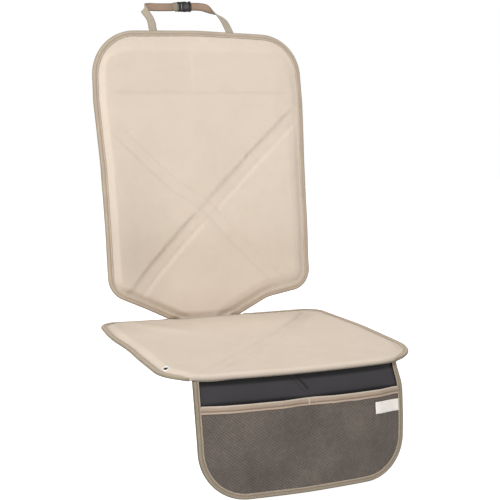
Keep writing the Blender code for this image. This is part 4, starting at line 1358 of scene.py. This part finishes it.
def webbing_ribbon(name, stations, width=WEBBING_WIDTH):
    """Ribbon through stations (x, y, z, turn), where turn is how far it has twisted, from
    flat against the panel to upright at 90 degrees."""
    upright = np.array((0.0, math.sin(RUN_LEAN), math.cos(RUN_LEAN)))
    shares = np.linspace(-1, 1, 9)
    corners, maps = [], []
    length = 0.0
    ring_size = 2 * len(shares)
    for i, station in enumerate(stations):
        ahead = stations[min(i + 1, len(stations) - 1)][:3]
        behind = stations[max(i - 1, 0)][:3]
        along = unit(ahead - behind)
        if i:
            length += np.linalg.norm(station[:3] - stations[i - 1][:3])
        turn = math.radians(station[3])
        across = np.array((math.cos(turn), 0.0, 0.0)) + upright * math.sin(turn)
        across = unit(across - along * (across @ along))
        thick = np.cross(across, along)
        for side in (1, -1):
            for share in shares * side:
                body = WEBBING / 2 * (1 - 0.55 * abs(share) ** 6) * side
                corners.append(station[:3] + across * share * width / 2 + thick * body)
                maps.append((length, share * width / 2))
    faces = []
    last = (len(stations) - 1) * ring_size
    for row in range(0, last, ring_size):
        faces += turned_over(band(row, row + ring_size, ring_size))
    faces += [tuple(range(ring_size)), tuple(range(last, last + ring_size))[::-1]]
    made = cloth_mesh(name, np.array(corners), faces, maps)
    made.data.materials.append(webbing_outside)
    made.data.materials.append(webbing_inside_shaded)
    for number, face in enumerate(made.data.polygons):
        face.material_index = int(number % ring_size > len(shares) - 1)
    return made


def sewn_end(across, turn):
    """Stations of a strap's end behind the panel, from its lower end to the top edge."""
    height = -0.0012
    ups = np.array((0.568, 0.580, 0.589, 0.598))
    spots = lay_back(np.stack((np.full(4, across), ups), axis=1), np.full(4, height))
    return [(*spot, turn) for spot in spots]


def lean_place(along, aside=0.0, out=0.0):
    """A place in the buckle's own frame: along the strap, up across it, and towards the front."""
    turn = Matrix.Rotation(-math.radians(2), 4, "Y") @ Matrix.Rotation(-RUN_LEAN, 4, "X")
    return np.array(Matrix.Translation((-0.0228, 0.4140, 0.6505)) @ turn @ Vector((along, -out, aside)))


STRAP_LEFT = sewn_end(-0.0980, 0) + [
    (-0.0955, 0.3535, 0.6035, 2),
    (-0.0935, 0.3650, 0.6125, 6),
    (-0.0935, 0.3800, 0.6235, 12),
    (-0.0970, 0.3960, 0.6355, 26),
    (-0.0968, 0.4085, 0.6450, 62),
    (-0.0860, 0.4140, 0.6484, 90),
    (-0.0700, 0.4145, 0.6485, 90),
    (-0.0450, 0.4143, 0.6491, 90),
    (*lean_place(0.0030), 90),
]
STRAP_RIGHT = [
    (*lean_place(0.0285), 90),
    (0.0200, 0.4143, 0.6520, 90),
    (0.0300, 0.4140, 0.6518, 92),
    (0.0395, 0.4095, 0.6496, 102),
    (0.0490, 0.4000, 0.6436, 124),
    (0.0590, 0.3850, 0.6342, 150),
    (0.0668, 0.3695, 0.6220, 168),
    (0.0702, 0.3555, 0.6080, 177),
] + sewn_end(0.0706, 180)[::-1]

webbing_outside = webbing_finish("webbing_outside", (0.50, 0.43, 0.325), (0.42, 0.36, 0.27), 0.72)
# The inner face is the same webbing painted darker and browner: painted shade.
webbing_inside_shaded = webbing_finish("webbing_inside_shaded", (0.46, 0.315, 0.225), (0.39, 0.26, 0.185), 0.42)

for side, route in (("left", STRAP_LEFT), ("right", STRAP_RIGHT)):
    strap = webbing_ribbon("webbing_" + side, smooth_route(route))
    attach(strap, "root")
    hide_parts("strap_" + side)

tail_route = [
    (*lean_place(0.0020, 0.0, 0.0012), 90),
    (*lean_place(-0.0015, -0.0008, 0.0030), 92),
    (*lean_place(-0.0050, -0.0014, 0.0046), 97),
    (*lean_place(-0.0085, -0.0020, 0.0068), 104),
]
webbing_tail = webbing_ribbon("webbing_tail", smooth_route(tail_route), width=0.0200)
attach(webbing_tail, "root")


# Buckle
# Side-release buckle of black moulded plastic. The plug's two arms snap into the socket and
# show in its side windows.

BUCKLE_LENGTH = 0.0310
SOCKET_START = 0.0120


def moulded_plastic(name, colour, glint_at):
    """Satin moulded surface with a fine grain and hazy patches, and a paler patch painted round one
    place as a painted reflection.
    """
    made, add, _, place = new_finish(name)
    haze = clouds(add, place, 120.0, 3.0)
    away = add("VectorMath", {"operation": "DISTANCE"}, i0=place, i1=tuple(glint_at))
    # Painted reflection: a paler patch round one place on the socket.
    painted_glint = ranged(add, away.outputs["Value"], 0.0085, 0.0035)
    hazy = blend(add, haze, colour, shade_of(colour, 1.8))
    patches_and_painted_highlight = blend(add, worked_out(add, "MULTIPLY", painted_glint, haze), hazy, shade_of(colour, 17))
    values = {"Roughness": 0.45, "Specular IOR Level": 0.35}
    return finished(made, patches_and_painted_highlight, values, clouds(add, place, 1400.0), 0.25, 0.0001)


def moulding(name, outlines, thickness):
    """Flat moulding from outlines in the buckle's frame, with rounded edges."""
    rounding = 0.0006
    curve = bpy.data.curves.new(name, "CURVE")
    curve.dimensions = "2D"
    curve.fill_mode = "BOTH"
    curve.extrude = thickness / 2 - rounding
    curve.bevel_depth = rounding
    curve.bevel_resolution = 3
    curve.offset = -rounding
    for outline in outlines:
        spline = curve.splines.new("POLY")
        spline.points.add(len(outline) - 1)
        spline.use_cyclic_u = True
        for point, (along, aside) in zip(spline.points, outline):
            point.co = (along, aside, 0.0, 1.0)
    flat = bpy.data.objects.new(name + "_curve", curve)
    bpy.context.scene.collection.objects.link(flat)
    bpy.context.view_layer.update()
    mesh = bpy.data.meshes.new_from_object(flat.evaluated_get(bpy.context.evaluated_depsgraph_get()))
    bpy.data.objects.remove(flat, do_unlink=True)
    spots = np.array([lean_place(v.co.x, v.co.y, v.co.z) for v in mesh.vertices])
    mesh.vertices.foreach_set("co", spots.ravel())
    mesh.name = name
    mesh.materials.clear()
    mesh.materials.append(black_plastic)
    mesh.shade_smooth()
    mesh.set_sharp_from_angle(angle=math.radians(40))
    made = bpy.data.objects.new(name, mesh)
    bpy.context.scene.collection.objects.link(made)
    return made


def mirrored_outline(half):
    """Outline from its corners on one side of the strap's middle line, with the same ones on
    the other side."""
    other_half = [(along, -aside, radius) for along, aside, radius in reversed(half)]
    return outline_through(half + other_half, spacing=0.0008)


def webbing_slot(start):
    """Outline of the slot that the webbing goes through."""
    return mirrored_outline([(start, -0.0083, 0.0008), (start + 0.0030, -0.0083, 0.0008)])


# Where the buckle's painted reflection is centred.
GLINT_PLACE = lean_place(0.0205, 0.0, 0.004)
black_plastic = moulded_plastic("black_plastic", (0.0095, 0.0085, 0.0080), GLINT_PLACE)
socket_shape = mirrored_outline(
    [
        (SOCKET_START, -0.0104, 0.0012),
        (SOCKET_START + 0.0050, -0.0090, 0.0020),
        (SOCKET_START + 0.0115, -0.0090, 0.0020),
        (SOCKET_START + 0.0140, -0.0110, 0.0012),
        (BUCKLE_LENGTH, -0.0110, 0.0016),
    ]
)
socket_slot = webbing_slot(BUCKLE_LENGTH - 0.0050)
socket_half = moulding("socket_half", [socket_shape, socket_slot[::-1]], 0.0080)
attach(socket_half, "root")
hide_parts("buckle_socket")

plug_shape = mirrored_outline(
    [
        (0.0, -0.0104, 0.0014),
        (0.0095, -0.0104, 0.0010),
        (SOCKET_START + 0.0055, -0.0112, 0.0008),
        (SOCKET_START + 0.0105, -0.0108, 0.0012),
        (SOCKET_START + 0.0110, -0.0080, 0.0006),
        (0.0100, -0.0066, 0.0008),
    ]
)
plug_slot = webbing_slot(0.0022)
plug_half = moulding("plug_half", [plug_shape, plug_slot[::-1]], 0.0046)
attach(plug_half, "root")
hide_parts("buckle_plug")


# Camera, floor and light
# The photograph's viewpoint: a long lens, a little left of the mat and above the seat.

CAMERA_PLACE = Vector((-0.7168, -1.8228, 0.4572))
CAMERA_AIM = Vector((0.3576, 0.9230, -0.1422))
camera_data = bpy.data.cameras.new("camera")
camera_data.lens = 76.4
camera_data.sensor_width = 36.0
camera_data.shift_x = -0.003
camera = bpy.data.objects.new("camera", camera_data)
camera.location = CAMERA_PLACE
camera.rotation_euler = CAMERA_AIM.to_track_quat("-Z", "Y").to_euler()
bpy.context.scene.collection.objects.link(camera)
bpy.context.scene.camera = camera

FLOOR_LEVEL = -0.42


def seen_share(add):
    """1 for rays that show the backdrop itself: from the camera, a reflection or glass."""
    rays = add("LightPath").outputs
    either = worked_out(add, "MAXIMUM", rays["Is Camera Ray"], rays["Is Glossy Ray"])
    return worked_out(add, "MAXIMUM", either, rays["Is Transmission Ray"])


floor_mesh = bpy.data.meshes.new("floor")
floor_corners = [(x, y, FLOOR_LEVEL) for x, y in ((-8, -8), (8, -8), (8, 8), (-8, 8))]
floor_mesh.from_pydata(floor_corners, [], [(0, 1, 2, 3)])
floor = bpy.data.objects.new("floor", floor_mesh)
bpy.context.scene.collection.objects.link(floor)
floor_finish, add, _, _ = new_finish("floor_finish")
floor_tree = floor_finish.node_tree
floor_shader = floor_tree.nodes["Principled BSDF"]
floor_shader.inputs["Base Color"].default_value = (0.86, 0.86, 0.86, 1.0)
floor_shader.inputs["Roughness"].default_value = 0.9
floor_shader.inputs["Emission Color"].default_value = (1.0, 1.0, 1.0, 1.0)
lit = worked_out(add, "MULTIPLY", seen_share(add), 0.70)
floor_tree.links.new(lit, floor_shader.inputs["Emission Strength"])
floor_mesh.materials.append(floor_finish)

world = bpy.data.worlds.new("world")
bpy.context.scene.world = world
world.use_nodes = True
sky = world.node_tree.nodes["Background"]
sky.inputs["Color"].default_value = (1.0, 1.0, 1.0, 1.0)
WORLD_LIGHT = 0.42
add = node_adder(world.node_tree)
level = worked_out(add, "MULTIPLY_ADD", seen_share(add), 1.0 - WORLD_LIGHT, WORLD_LIGHT)
world.node_tree.links.new(level, sky.inputs["Strength"])


def soft_lamp(name, place, aim, size, power):
    data = bpy.data.lights.new(name, "AREA")
    data.size = size
    data.energy = power
    lamp = bpy.data.objects.new(name, data)
    lamp.location = place
    lamp.rotation_euler = (Vector(aim) - Vector(place)).to_track_quat("-Z", "Y").to_euler()
    bpy.context.scene.collection.objects.link(lamp)


soft_lamp("key", (-5.70, -4.90, 7.20), (0.0, 0.2, 0.3), 2.4, 770.0)
soft_lamp("fill", (1.9, -2.2, 0.9), (0.0, 0.1, 0.2), 1.6, 5.0)

bpy.context.scene.view_settings.view_transform = "Standard"
